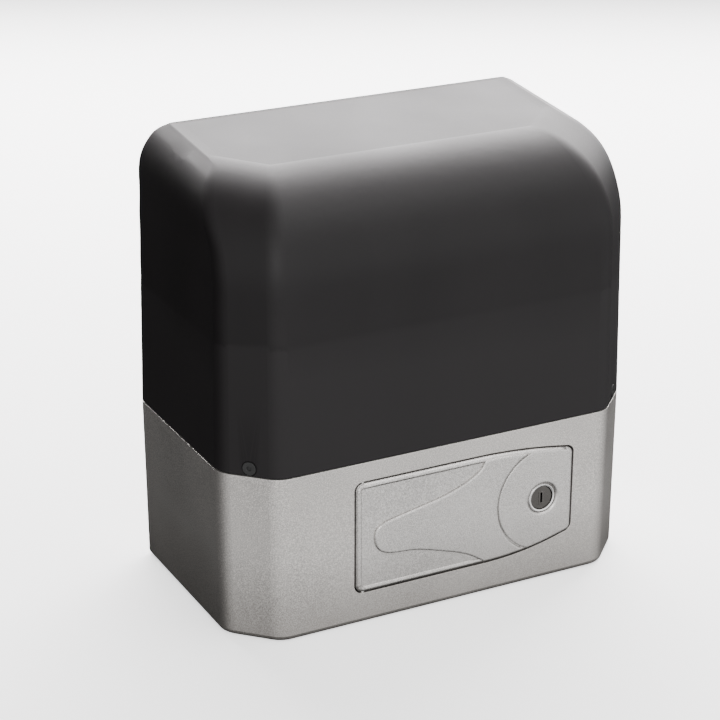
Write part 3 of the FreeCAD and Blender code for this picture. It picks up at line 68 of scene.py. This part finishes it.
class Shader:
    """A small wrapper for building one material's node tree."""

    def __init__(self, name):
        self.mat = bpy.data.materials.new(name)
        self.mat.use_nodes = True
        self.tree = self.mat.node_tree
        self.tree.nodes.clear()
        out = self.add("ShaderNodeOutputMaterial")
        self.bsdf = self.add("ShaderNodeBsdfPrincipled")
        self.link(self.bsdf.outputs["BSDF"], out.inputs["Surface"])
        self.coords = self.add("ShaderNodeTexCoord").outputs["Object"]

    def add(self, kind, **values):
        node = self.tree.nodes.new(kind)
        for key, value in values.items():
            if key in node.inputs:
                node.inputs[key].default_value = value
            else:
                setattr(node, key, value)
        return node

    def link(self, a, b):
        self.tree.links.new(a, b)

    def set(self, **values):
        for key, value in values.items():
            self.bsdf.inputs[key.replace("_", " ")].default_value = value

    def scaled(self, scale):
        node = self.add("ShaderNodeMapping")
        node.inputs["Scale"].default_value = scale
        self.link(self.coords, node.inputs["Vector"])
        return node.outputs["Vector"]

    def noise(self, scale, detail=3.0, rough=0.5, stretch=None):
        node = self.add("ShaderNodeTexNoise", Scale=scale, Detail=detail, Roughness=rough)
        self.link(self.scaled(stretch) if stretch else self.coords, node.inputs["Vector"])
        return node.outputs["Fac"]

    def cells(self, scale):
        node = self.add("ShaderNodeTexVoronoi", Scale=scale)
        self.link(self.coords, node.inputs["Vector"])
        return node.outputs["Distance"]

    def waves(self, scale, direction, distortion=0.0):
        node = self.add("ShaderNodeTexWave", Scale=scale, Distortion=distortion)
        node.bands_direction = direction
        self.link(self.coords, node.inputs["Vector"])
        return node.outputs["Fac"]

    def remap(self, source, low, high, to_low, to_high):
        node = self.add("ShaderNodeMapRange")
        for key, value in (("From Min", low), ("From Max", high), ("To Min", to_low), ("To Max", to_high)):
            node.inputs[key].default_value = value
        self.link(source, node.inputs["Value"])
        return node.outputs["Result"]

    def mix(self, factor, a, b):
        """A colour mixed between a and b, each a colour or a socket."""
        node = self.add("ShaderNodeMix", data_type="RGBA")
        self.link(factor, node.inputs["Factor"])
        for socket, value in ((node.inputs[6], a), (node.inputs[7], b)):
            if isinstance(value, tuple):
                socket.default_value = (*value, 1.0)
            else:
                self.link(value, socket)
        return node.outputs[2]

    def maths(self, operation, a, b):
        node = self.add("ShaderNodeMath", operation=operation)
        for socket, value in zip(node.inputs, (a, b)):
            if isinstance(value, (int, float)):
                socket.default_value = value
            else:
                self.link(value, socket)
        return node.outputs[0]

    def edges(self, low=0.505, high=0.54):
        """White on convex edges, where handling wears the surface."""
        point = self.add("ShaderNodeNewGeometry").outputs["Pointiness"]
        return self.remap(point, low, high, 0.0, 1.0)

    def bumps(self, layers, rounding=0.0):
        """Bump layers of (height socket, depth in metres) over edges rounded by rounding metres."""
        normal = None
        if rounding:
            bevel = self.add("ShaderNodeBevel", Radius=rounding)
            bevel.samples = 6
            normal = bevel.outputs["Normal"]
        for height, depth in layers:
            node = self.add("ShaderNodeBump", Distance=depth, Strength=1.0)
            self.link(height, node.inputs["Height"])
            if normal:
                self.link(normal, node.inputs["Normal"])
            normal = node.outputs["Normal"]
        self.link(normal, self.bsdf.inputs["Normal"])

    def colour(self, source):
        self.link(source, self.bsdf.inputs["Base Color"])

    def rough(self, source):
        self.link(source, self.bsdf.inputs["Roughness"])


# ---------------------------------------------------------------- materials

FOOT_SHADE_TOP = 0.062           # height that the painted shade at the foot reaches on the paint, metres
FOOT_SHADE_WAVE = 0.012          # how far its upper edge wanders
FOOT_SHADE_DEPTH = 0.62          # how strongly the painted shade darkens the paint at the foot
FOOT_SHADE_COLOUR = (0.16, 0.145, 0.13)


def cast_paint(name, base, sparkle, rough, rounding=0.0006):
    """Silver metallic paint over die-cast metal: fine flakes, a cast grain, and painted shade darkening it
    towards the foot.
    """
    s = Shader(name)
    s.set(Metallic=0.82, Coat_Weight=0.25, Coat_Roughness=0.32)
    flakes = s.cells(1500.0)
    grain = s.noise(1450.0, 2.0)
    cloud = s.noise(11.0, 4.0)
    shade = tuple(c * 0.72 for c in base)
    bright = tuple(min(c * sparkle, 1.0) for c in base)
    tone = s.mix(s.remap(cloud, 0.3, 0.7, 0.0, 1.0), shade, base)
    tone = s.mix(s.remap(grain, 0.40, 0.72, 0.0, 1.0), tone, bright)
    # painted shade: the colour darkens towards the foot, standing in for the light falling off there
    rise = s.add("ShaderNodeSeparateXYZ")
    s.link(s.coords, rise.inputs["Vector"])
    height = s.maths("ADD", rise.outputs["Z"], s.maths("MULTIPLY", cloud, FOOT_SHADE_WAVE))
    foot_shade = s.remap(height, 0.0, FOOT_SHADE_TOP, FOOT_SHADE_DEPTH, 0.0)
    s.colour(s.mix(foot_shade, tone, FOOT_SHADE_COLOUR))
    s.rough(s.remap(s.maths("ADD", grain, cloud), 0.6, 1.4, rough - 0.06, rough + 0.09))
    s.bumps([(s.noise(160.0, 3.0), 0.00003), (grain, 0.000022), (flakes, 0.00001)], rounding)
    return s.mat


def moulded(name, base, rough=0.42, texture=2300.0, depth=0.00002, sheen=0.5):
    """Moulded plastic with a fine spark texture, slight flow marks and polished high edges."""
    s = Shader(name)
    s.set(Specular_IOR_Level=sheen)
    grain = s.noise(texture, 2.0)
    flow = s.noise(14.0, 4.0, stretch=(1.0, 1.0, 0.35))
    light = tuple(c * 1.28 + 0.002 for c in base)
    tone = s.mix(s.remap(flow, 0.3, 0.7, 0.0, 1.0), base, light)
    tone = s.mix(s.maths("MULTIPLY", s.edges(), 0.35), tone, tuple(c * 1.8 + 0.01 for c in base))
    s.colour(tone)
    s.rough(s.remap(s.maths("ADD", grain, flow), 0.6, 1.4, rough - 0.05, rough + 0.07))
    s.bumps([(grain, depth), (s.noise(60.0, 2.0), 0.00004)], 0.0004)
    return s.mat


def metal(name, base, rough, stretch=(1.0, 1.0, 1.0), marks=900.0, tarnish=0.75, depth=0.000012):
    """Machined or plated metal with tool marks along one direction and a little tarnish."""
    s = Shader(name)
    s.set(Metallic=1.0)
    lines = s.noise(marks, 3.0, stretch=stretch)
    cloud = s.noise(55.0, 5.0, 0.6)
    dull = tuple(c * tarnish for c in base)
    tone = s.mix(s.remap(cloud, 0.35, 0.68, 0.0, 1.0), base, dull)
    tone = s.mix(s.maths("MULTIPLY", s.edges(), 0.5), tone, tuple(min(c * 1.3, 1.0) for c in base))
    s.colour(tone)
    s.rough(s.remap(s.maths("ADD", lines, cloud), 0.6, 1.4, rough - 0.07, rough + 0.12))
    s.bumps([(lines, depth), (cloud, 0.00003)], 0.0003)
    return s.mat


def rubber(name):
    s = Shader(name)
    grain = s.noise(1300.0, 3.0)
    dust = s.noise(90.0, 4.0)
    s.colour(s.mix(s.remap(dust, 0.45, 0.75, 0.0, 0.5), (0.012, 0.012, 0.012), (0.05, 0.048, 0.045)))
    s.rough(s.remap(grain, 0.3, 0.7, 0.62, 0.82))
    s.bumps([(grain, 0.00005)], 0.0004)
    return s.mat


def winding(name, direction):
    """Enamelled copper wire laid in close turns, glossy with varnish."""
    s = Shader(name)
    s.set(Metallic=0.9, Coat_Weight=0.6, Coat_Roughness=0.15)
    turns = s.waves(330.0, direction, 1.6)
    cloud = s.noise(120.0, 4.0)
    s.colour(s.mix(s.remap(cloud, 0.3, 0.7, 0.0, 1.0), (0.50, 0.17, 0.055), (0.30, 0.09, 0.03)))
    s.rough(s.remap(turns, 0.0, 1.0, 0.42, 0.22))
    s.bumps([(turns, 0.0003), (cloud, 0.0002)])
    return s.mat


def laminations(name, direction):
    """A stack of thin iron sheets under varnish."""
    s = Shader(name)
    s.set(Metallic=0.85)
    sheets = s.waves(620.0, direction, 0.3)
    rust = s.noise(75.0, 5.0)
    tone = s.mix(s.remap(sheets, 0.2, 0.8, 0.0, 1.0), (0.10, 0.10, 0.105), (0.23, 0.23, 0.235))
    s.colour(s.mix(s.remap(rust, 0.56, 0.75, 0.0, 0.6), tone, (0.20, 0.12, 0.07)))
    s.rough(s.remap(rust, 0.3, 0.7, 0.38, 0.6))
    s.bumps([(sheets, 0.00012)], 0.0003)
    return s.mat


def circuit(name):
    """Green solder mask over copper tracks, with pale printed outlines."""
    s = Shader(name)
    s.set(Coat_Weight=0.5, Coat_Roughness=0.12)
    brick = s.add("ShaderNodeTexBrick", Scale=46.0)
    brick.inputs["Mortar Size"].default_value = 0.035
    brick.inputs["Color1"].default_value = (0.008, 0.10, 0.035, 1)
    brick.inputs["Color2"].default_value = (0.010, 0.12, 0.045, 1)
    brick.inputs["Mortar"].default_value = (0.022, 0.21, 0.075, 1)
    swap = s.add("ShaderNodeMapping")
    swap.inputs["Rotation"].default_value = (math.pi / 2, 0, 0)
    s.link(s.coords, swap.inputs["Vector"])
    s.link(swap.outputs["Vector"], brick.inputs["Vector"])
    dust = s.noise(140.0, 4.0)
    s.colour(s.mix(s.remap(dust, 0.55, 0.8, 0.0, 0.3), brick.outputs["Color"], (0.10, 0.14, 0.10)))
    s.rough(s.remap(dust, 0.3, 0.7, 0.28, 0.45))
    s.bumps([(brick.outputs["Fac"], 0.00006)], 0.0002)
    return s.mat


STEEL = (0.60, 0.60, 0.59)
MATERIALS = {
    "silver_casting": lambda n: cast_paint(n, (0.47, 0.45, 0.43), 1.6, 0.33),
    "silver_door": lambda n: cast_paint(n, (0.47, 0.455, 0.44), 1.5, 0.27, 0.0016),
    "cover_plastic": lambda n: moulded(n, (0.0040, 0.0031, 0.0035), 0.50, sheen=0.22),
    "lock_bezel": lambda n: metal(n, (0.62, 0.61, 0.60), 0.24, marks=500.0),
    "lock_metal": lambda n: metal(n, (0.10, 0.095, 0.09), 0.25, marks=600.0),
    "dark_fixings": lambda n: metal(n, (0.05, 0.05, 0.05), 0.42),
    "gasket_rubber": rubber,
    "zinc_steel": lambda n: metal(n, (0.62, 0.62, 0.60), 0.33, marks=350.0, tarnish=0.8),
    "ground_steel": lambda n: metal(n, STEEL, 0.22, stretch=(0.15, 1.0, 1.0), marks=2200.0),
    "gear_steel": lambda n: metal(n, (0.36, 0.35, 0.34), 0.42, (1.0, 0.05, 1.0), 1500.0, tarnish=0.6),
    "spring_steel": lambda n: metal(n, (0.52, 0.52, 0.51), 0.28, marks=1400.0),
    "bronze": lambda n: metal(n, (0.62, 0.38, 0.14), 0.32, marks=1500.0, tarnish=0.65),
    "cast_iron_hub": lambda n: metal(n, (0.20, 0.195, 0.19), 0.55, marks=700.0, depth=0.00006),
    "raw_alloy": lambda n: metal(n, (0.58, 0.585, 0.59), 0.48, marks=420.0, tarnish=0.8, depth=0.00005),
    "lamination": lambda n: laminations(n, "Z"),
    "copper_winding": lambda n: winding(n, "Z"),
    "fan_plastic": lambda n: moulded(n, (0.012, 0.012, 0.012), 0.5),
    "bracket_plastic": lambda n: moulded(n, (0.030, 0.030, 0.032), 0.48),
    "circuit_board": circuit,
    "relay_case": lambda n: moulded(n, (0.02, 0.07, 0.24), 0.24),
    "chip_case": lambda n: moulded(n, (0.012, 0.012, 0.012), 0.45),
    "capacitor_sleeve": lambda n: moulded(n, (0.02, 0.02, 0.035), 0.22),
    "terminal_green": lambda n: moulded(n, (0.02, 0.19, 0.06), 0.38),
    "fuse_black": lambda n: moulded(n, (0.014, 0.014, 0.014), 0.35),
    "capacitor_can": lambda n: moulded(n, (0.62, 0.62, 0.60), 0.35),
}
made = {}


def finish_of(slot):
    if slot not in made:
        made[slot] = MATERIALS[slot](slot)
    return made[slot]


def smooth(mesh):
    mesh.polygons.foreach_set("use_smooth", [True] * len(mesh.polygons))


def dress_nodes():
    """Every CAD node gets its slot's material."""
    for part in frame["record"]["subparts"]:
        node = frame["nodes"][part["node"]]
        node.data.materials.clear()
        node.data.materials.append(finish_of(part["material_slot"]))
        smooth(node.data)


# ---------------------------------------------------------------- making pieces

def at(x, y, z):
    """A point given in mm."""
    return Vector((x * MM, y * MM, z * MM))


def in_mm(node):
    """The lowest and highest corner of a CAD node, in mm."""
    low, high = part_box(node)
    return low / MM, high / MM


def place(obj, body, mat):
    """Link a piece, give it its finish and let it ride on a body."""
    bpy.context.collection.objects.link(obj)
    obj.data.materials.append(mat)
    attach(obj, body)
    return obj


def round_off(bm, edges, radius):
    bmesh.ops.bevel(bm, geom=edges, offset=radius * MM, segments=2, affect="EDGES", profile=0.6)


def edges_of(verts):
    return {e for v in verts for e in v.link_edges}


def add_block(bm, low, high, edge_r):
    """A block with rounded edges, corners in mm."""
    new = bmesh.ops.create_cube(bm, size=1.0)["verts"]
    for v in new:
        v.co = at(*(a + (b - a) * (c + 0.5) for a, b, c in zip(low, high, v.co)))
    round_off(bm, list(edges_of(new)), edge_r)


def is_rim(edge):
    """An edge between a round post's side and one of its ends."""
    one, other = edge.link_faces
    return len(one.verts) != len(other.verts)


def add_post(bm, x, y, z, radius, out, edge_r):
    """A round post standing out of the board towards the front, its foot at y."""
    turn = Matrix.Rotation(math.pi / 2, 4, "X")
    middle = Matrix.Translation(at(x, y - out / 2, z))
    new = bmesh.ops.create_cone(bm, cap_ends=True, segments=24, radius1=radius * MM, radius2=radius * MM,
                                depth=out * MM, matrix=middle @ turn)["verts"]
    round_off(bm, [e for e in edges_of(new) if is_rim(e)], edge_r)


def board_piece(name, mat, blocks=(), posts=()):
    """One mesh of blocks (low corner, high corner, edge radius) and posts, carried by the base."""
    bm = bmesh.new()
    for block in blocks:
        add_block(bm, *block)
    for post in posts:
        add_post(bm, *post)
    mesh = bpy.data.meshes.new(name)
    bm.to_mesh(mesh)
    bm.free()
    return place(bpy.data.objects.new(name, mesh), "base", mat)


def wire(name, points, radius, mat, body="base", turn_steps=10, closed=False):
    """A round tube in mesh form along one smooth spline laid by the points, all in mm."""
    data = bpy.data.curves.new(name, "CURVE")
    data.dimensions = "3D"
    data.bevel_depth = radius * MM
    data.bevel_resolution = 3
    data.resolution_u = turn_steps
    data.use_fill_caps = True
    spline = data.splines.new("NURBS")
    spline.points.add(len(points) - 1)
    for control, point in zip(spline.points, points):
        control.co = (*at(*point), 1.0)
    spline.order_u = 3
    spline.use_endpoint_u = not closed
    spline.use_cyclic_u = closed
    path = bpy.data.objects.new(name + "_path", data)
    mesh = bpy.data.meshes.new_from_object(path)
    mesh.name = name
    bpy.data.objects.remove(path)
    mesh.materials.clear()
    smooth(mesh)
    return place(bpy.data.objects.new(name, mesh), body, mat)


# ---------------------------------------------------------------- small parts on the board, in mm

BOARD_MARGIN = (7.0, 5.0)    # kept free of small parts along the board's edges
CHIP_SPACE = 2.4             # least distance between a small part's middle and its neighbours
CHIP_ROOM = (1.5, 1.0)       # what each small part takes up for the next ones
CHIP_LONG, CHIP_SHORT = 1.6, 0.8
CHIP_OUT, END_OUT = 0.7, 0.76
END_FROM, END_TO, END_OVER = 0.7, 1.12, 0.06     # the tinned ends, as shares of the half length
CHIP_TRIES = 900
LARGE_CHIPS = [(62, 92, 170, 206), (94, 126, 168, 184), (92, 122, 196, 224)]    # x0, x1, z0, z1
CONTROL_ROWS = (62, 124, 148, 166)


def is_clear(x, z, taken):
    return all(x < x0 - CHIP_SPACE or x > x1 + CHIP_SPACE or z < z0 - CHIP_SPACE or z > z1 + CHIP_SPACE
               for x0, x1, z0, z1 in taken)


def tinned_ends(x, z, half_x, half_z, face):
    """The two metal ends of a small part, across its longer way."""
    ends = []
    for side in (-1, 1):
        if half_x > half_z:
            a, b = sorted((x + side * half_x * END_FROM, x + side * half_x * END_TO))
            low, high = (a, z - half_z - END_OVER), (b, z + half_z + END_OVER)
        else:
            a, b = sorted((z + side * half_z * END_FROM, z + side * half_z * END_TO))
            low, high = (x - half_x - END_OVER, a), (x + half_x + END_OVER, b)
        ends.append(((low[0], face - END_OUT, low[1]), (high[0], face, high[1]), 0.12))
    return ends


def chip_field(low, high, face):
    """Small resistors and capacitors in the board's free places, each a body between two tinned ends."""
    busy = ["terminal_blocks", "fuse_holder", "board_relays", "board_capacitors"]
    taken = [(a.x, b.x, a.z, b.z) for a, b in map(in_mm, busy)] + LARGE_CHIPS + [CONTROL_ROWS]
    margin_x, margin_z = BOARD_MARGIN
    room_x, room_z = CHIP_ROOM
    pick = random.Random(7)
    bodies, ends = [], []
    for _ in range(CHIP_TRIES):
        x = pick.uniform(low.x + margin_x, high.x - margin_x)
        z = pick.uniform(low.z + margin_z, high.z - margin_z)
        if not is_clear(x, z, taken):
            continue
        taken.append((x - room_x, x + room_x, z - room_z, z + room_z))
        across = pick.random() < 0.6
        half_x, half_z = (CHIP_LONG, CHIP_SHORT) if across else (CHIP_SHORT, CHIP_LONG)
        bodies.append(((x - half_x, face - CHIP_OUT, z - half_z), (x + half_x, face, z + half_z), 0.15))
        ends += tinned_ends(x, z, half_x, half_z, face)
    board_piece("small_parts", finish_of("chip_case"), bodies)
    board_piece("small_part_ends", finish_of("spring_steel"), ends)


ROW_Z = 151.0                # foot of the setting switches and push buttons
UPPER_ROW_Z = ROW_Z + 13.3   # middle of the trimmers and lamps
SWITCH_X, SWITCH_WIDE, SWITCH_HIGH, SWITCH_OUT = 66.0, 21.0, 9.0, 5.0
LEVER_COUNT, LEVER_PITCH, LEVER_WIDE, LEVER_HIGH = 8, 2.4, 1.5, 2.2
LEVER_ON, LEVER_OFF = 4.6, 2.2
BUTTONS = [93.0, 102.0, 111.0]
BUTTON_HALF, BUTTON_CAP_R = 3.0, 1.7
TRIMMERS = [68.0, 76.0, 84.0, 92.0]
TRIMMER_HALF, TRIMMER_DISC_R = 3.0, 2.1
LAMPS = [102.0, 106.0, 110.0, 114.0]
LAMP_R, LAMP_OUT = 1.3, 3.2


def setting_switches(face):
    front = face - SWITCH_OUT
    body = ((SWITCH_X, front, ROW_Z), (SWITCH_X + SWITCH_WIDE, face, ROW_Z + SWITCH_HIGH), 0.4)
    board_piece("setting_switches", moulded("switch_red", (0.36, 0.012, 0.010), 0.35), [body])
    levers = []
    for k in range(LEVER_COUNT):
        x, z = SWITCH_X + 1.6 + LEVER_PITCH * k, ROW_Z + (LEVER_ON if k % 3 else LEVER_OFF)
        levers.append(((x, front - 0.8, z), (x + LEVER_WIDE, front + 0.2, z + LEVER_HIGH), 0.15))
    board_piece("switch_levers", moulded("lever_white", (0.70, 0.70, 0.68), 0.4), levers)


def push_buttons(face):
    low, high = ROW_Z + 1, ROW_Z + 1 + 2 * BUTTON_HALF
    board_piece("button_frames", finish_of("spring_steel"),
                [((x - BUTTON_HALF, face - 3.2, low), (x + BUTTON_HALF, face, high), 0.35) for x in BUTTONS])
    board_piece("button_caps", finish_of("fan_plastic"),
                posts=[(x, face - 3.0, ROW_Z + 4, BUTTON_CAP_R, 1.8, 0.3) for x in BUTTONS])


def trimmers(face):
    low, high = ROW_Z + 10.6, ROW_Z + 16
    board_piece("trimmer_cases", finish_of("relay_case"),
                [((x - TRIMMER_HALF, face - 4, low), (x + TRIMMER_HALF, face, high), 0.3) for x in TRIMMERS])
    bars = [((x - 1.7, face - 4.9, UPPER_ROW_Z - 0.4), (x + 1.7, face - 4.4, UPPER_ROW_Z + 0.4), 0.1)
            for x in TRIMMERS]
    discs = [(x, face - 3.9, UPPER_ROW_Z, TRIMMER_DISC_R, 0.7, 0.15) for x in TRIMMERS]
    board_piece("trimmer_discs", finish_of("spring_steel"), bars, discs)


def lamp_lens():
    s = Shader("lamp_lens")
    grain = s.noise(400.0)
    s.colour(s.mix(grain, (0.55, 0.03, 0.02), (0.66, 0.06, 0.04)))
    s.rough(s.remap(grain, 0.3, 0.7, 0.12, 0.22))
    s.set(Transmission_Weight=0.35)
    return s.mat


def controls(face):
    """Setting switches and push buttons in a row above the terminals, trimmers and lamps above those."""
    setting_switches(face)
    push_buttons(face)
    trimmers(face)
    lamps = [(x, face, UPPER_ROW_Z, LAMP_R, LAMP_OUT, 0.7) for x in LAMPS]
    board_piece("status_lamps", lamp_lens(), posts=lamps)


# ---------------------------------------------------------------- wiring, in mm

POLE = 8.0                       # one way of a terminal block
LEFT_BLOCK, RIGHT_BLOCK = 12.0, 70.0     # where the blocks start, from the board's left edge
ENTRY = 7.5                      # how far in front of the board the wires enter the blocks
LEAD_R, THIN_LEAD_R, BOOT_R = 1.15, 0.9, 2.3
COAT_COLOURS = {"brown": (0.16, 0.06, 0.025), "grey": (0.20, 0.20, 0.20), "black": (0.012, 0.012, 0.012),
                "blue": (0.02, 0.07, 0.30), "white": (0.62, 0.62, 0.60), "red": (0.42, 0.015, 0.01)}


def insulation(name, base):
    """Soft insulation with a slight waviness and dulled spots."""
    s = Shader(name)
    s.set(Specular_IOR_Level=0.45)
    cloud, grain = s.noise(220.0, 3.0), s.noise(1600.0)
    s.colour(s.mix(s.remap(cloud, 0.35, 0.7, 0.0, 1.0), base, tuple(c * 0.7 for c in base)))
    s.rough(s.remap(grain, 0.3, 0.7, 0.34, 0.5))
    s.bumps([(cloud, 0.00012), (grain, 0.00001)])
    return s.mat


def into_block(block, k, face):
    """The last stretch of a wire, up into way k of a terminal block."""
    x = in_mm("control_board")[0].x + block + POLE * (k + 0.5)
    entry, foot = face - ENTRY, in_mm("terminal_blocks")[0].z
    return [(x, entry - 2, foot - 11), (x, entry, foot - 5), (x, entry, foot + 2)]


def motor_leads(coats, face, deck):
    for k, colour in enumerate(("brown", "grey", "black")):
        z = deck + 14 + 2.6 * k
        route = [(-5, -10, z), (-3, -24, z), (-15, -30, z), (-19, -38, z), (-17, -46, z - 3)]
        wire("motor_lead_" + colour, route + into_block(LEFT_BLOCK, k, face), LEAD_R, coats[colour])


def limit_leads(coats, face, deck):
    for k, colour in enumerate(("red", "white", "blue")):
        z = deck + 3.5 + 2.3 * k
        route = [(32, 57, 130), (26, 50, 134), (20, 32, z + 4), (19, 4, z), (14, -20, z), (-4, -27, z),
                 (-17, -31, z), (-19.5, -41, z), (-8, -51, z - 1)]
        wire("limit_lead_" + colour, route + into_block(RIGHT_BLOCK, k, face), THIN_LEAD_R, coats[colour])


def capacitor_leads(coats, face):
    top = in_mm("run_capacitor")[1]
    for k, colour in enumerate(("brown", "blue")):
        x = top.x - 24 + 12 * k
        route = [(x, 0, top.z + 1), (x, 0, top.z + 9), (x + 6, -8, top.z + 16), (136, -22, top.z + 4),
                 (139 + k, -32, top.z - 22), (139 + k, -40, 150), (133, -50, 128 + 2 * k)]
        boot = [(x, 0, top.z - 0.2), (x, 0, top.z + 4), (x, 0, top.z + 8)]
        wire("capacitor_lead_" + colour, route + into_block(RIGHT_BLOCK, 5 - k, face), LEAD_R, coats[colour])
        wire("capacitor_boot_" + colour, boot, BOOT_R, coats["red" if k else "black"])


def wiring(face):
    """Motor, limit switch and capacitor leads, each laid round the board's bracket into its terminal."""
    coats = {name: insulation("insulation_" + name, base) for name, base in COAT_COLOURS.items()}
    deck = in_mm("deck_plate")[1].z
    motor_leads(coats, face, deck)
    limit_leads(coats, face, deck)
    capacitor_leads(coats, face)


# ---------------------------------------------------------------- wand spring and door bead, in mm

COIL_WIRE_R, COIL_STEPS, COIL_GAP = 0.62, 14, 0.08
BEAD_INSET, BEAD_R, BEAD_DEPTH, BEAD_STEPS = 2.3, 2.2, 1.35, 180
RIM_DEPTH = 1.6              # how deep behind the door's front its outline is read


def wand_coil():
    """The limit wand is a close-wound spring."""
    low, high = in_mm("limit_spring")
    middle = (low + high) / 2
    coil_r = (high.x - low.x) / 2 - COIL_WIRE_R
    turns = int((high.z - low.z) / (2 * COIL_WIRE_R + COIL_GAP))
    steps = turns * COIL_STEPS
    points = []
    for k in range(steps + 1):
        a = 2 * math.pi * k / COIL_STEPS
        z = low.z + COIL_WIRE_R + (high.z - low.z - 2 * COIL_WIRE_R) * k / steps
        points.append((middle.x + coil_r * math.cos(a), middle.y + coil_r * math.sin(a), z))
    coil = wire("wand_coil", points, COIL_WIRE_R, finish_of("spring_steel"), "lever", turn_steps=2)
    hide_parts("limit_spring")


def inner_outline(rim, middle, inset):
    """Points inside a convex outline by inset, where neighbouring tangents of the outline cross."""
    tangents = []
    for k in range(BEAD_STEPS):
        a = 2 * math.pi * k / BEAD_STEPS
        reach = max((v.x - middle.x) * math.cos(a) + (v.z - middle.z) * math.sin(a) for v in rim)
        tangents.append((a, reach - inset))
    outline = []
    for k in range(BEAD_STEPS):
        (a, g), (b, h) = tangents[k], tangents[(k + 1) % BEAD_STEPS]
        x = (g * math.sin(b) - h * math.sin(a)) / math.sin(b - a)
        z = (h * math.cos(a) - g * math.cos(b)) / math.sin(b - a)
        outline.append((middle.x + x, middle.z + z))
    return outline


def door_bead():
    """A low rounded bead along the release door's edge, laid on the door's own outline."""
    low, high = in_mm("door_panel")
    rim = [v.co / MM for v in frame["nodes"]["door_panel"].data.vertices if v.co.y / MM < low.y + RIM_DEPTH]
    outline = inner_outline(rim, (low + high) / 2, BEAD_INSET)
    route = [(x, low.y + BEAD_DEPTH, z) for x, z in outline]
    bead = wire("door_bead", route, BEAD_R, finish_of("silver_door"), "door", turn_steps=2, closed=True)


def extra_pieces():
    door_bead()
    low, high = in_mm("control_board")
    chip_field(low, high, low.y)
    controls(low.y)
    wiring(low.y)
    wand_coil()


# ---------------------------------------------------------------- stage, light and camera

FLOOR_HALF = 30.0            # half the floor's width, metres


def floor():
    """A pale floor that the camera sees and that catches shadows, without tinting the object."""
    mesh = bpy.data.meshes.new("floor")
    bm = bmesh.new()
    bmesh.ops.create_grid(bm, x_segments=1, y_segments=1, size=FLOOR_HALF)
    bm.to_mesh(mesh)
    bm.free()
    obj = bpy.data.objects.new("floor", mesh)
    obj.location.z = CAD_BOX[0].z
    bpy.context.collection.objects.link(obj)
    s = Shader("floor")
    cloud = s.noise(2.0, 3.0)
    s.colour(s.mix(cloud, (0.86, 0.86, 0.86), (0.90, 0.90, 0.90)))
    s.set(Roughness=0.85, Specular_IOR_Level=0.1)
    s.set(Emission_Color=(1.0, 1.0, 1.0, 1.0), Emission_Strength=1.1)
    mesh.materials.append(s.mat)
    obj.visible_glossy = False
    obj.visible_diffuse = False


def softbox(name, spot, aim, size, power, tint=(1.0, 1.0, 1.0)):
    data = bpy.data.lights.new(name, "AREA")
    data.shape = "RECTANGLE"
    data.size, data.size_y = size
    data.energy = power
    data.color = tint
    obj = bpy.data.objects.new(name, data)
    obj.location = spot
    obj.rotation_euler = (Vector(aim) - Vector(spot)).to_track_quat("-Z", "Y").to_euler()
    bpy.context.collection.objects.link(obj)


def ramp(tree, source, low, high, to_low, to_high):
    """A smooth step of the room's brightness along one direction."""
    node = tree.nodes.new("ShaderNodeMapRange")
    node.interpolation_type = "SMOOTHSTEP"
    for key, value in (("From Min", low), ("From Max", high), ("To Min", to_low), ("To Max", to_high)):
        node.inputs[key].default_value = value
    tree.links.new(source, node.inputs["Value"])
    return node.outputs["Result"]


def studio():
    """A room that is bright in front of the object, dark behind it and dark below it."""
    world = bpy.data.worlds.new("studio")
    world.use_nodes = True
    tree = world.node_tree
    background = tree.nodes["Background"]
    background.inputs["Color"].default_value = (1.0, 1.0, 1.0, 1.0)
    direction = tree.nodes.new("ShaderNodeTexCoord")
    split = tree.nodes.new("ShaderNodeSeparateXYZ")
    tree.links.new(direction.outputs["Generated"], split.inputs["Vector"])
    both = tree.nodes.new("ShaderNodeMath")
    both.operation = "MULTIPLY"
    tree.links.new(ramp(tree, split.outputs["Y"], -0.95, 0.50, 2.08, 0.07), both.inputs[0])
    tree.links.new(ramp(tree, split.outputs["Z"], -0.72, -0.28, 0.04, 1.0), both.inputs[1])
    tree.links.new(both.outputs[0], background.inputs["Strength"])
    bpy.context.scene.world = world


def lights():
    studio()
    middle, cover_top = (0.0, 0.0, 0.18), (0.0, 0.0, 0.28)
    softbox("overhead", (0.62, 1.15, 0.95), cover_top, (2.4, 1.3), 150.0, (1.0, 0.972, 0.978))
    softbox("overhead_front", (0.60, 0.05, 1.50), cover_top, (2.0, 1.1), 24.0, (1.0, 0.98, 0.98))
    softbox("front_left", (-0.7, -1.7, 0.9), middle, (0.9, 0.9), 10.0)


def camera():
    """Front left and above, as a product photographer would stand."""
    azimuth, elevation = math.radians(-27.22), math.radians(22.36)
    reach, target = 1.4694, Vector((-0.02367, 0.0, 0.15053))
    back = Vector((math.sin(azimuth) * math.cos(elevation), -math.cos(azimuth) * math.cos(elevation),
                   math.sin(elevation)))
    data = bpy.data.cameras.new("camera")
    data.sensor_width = 36.0
    data.lens = 110.1
    obj = bpy.data.objects.new("camera", data)
    obj.location = target + back * reach
    obj.rotation_euler = (-back).to_track_quat("-Z", "Y").to_euler()
    bpy.context.collection.objects.link(obj)
    bpy.context.scene.camera = obj


dress_nodes()
extra_pieces()
floor()
lights()
camera()
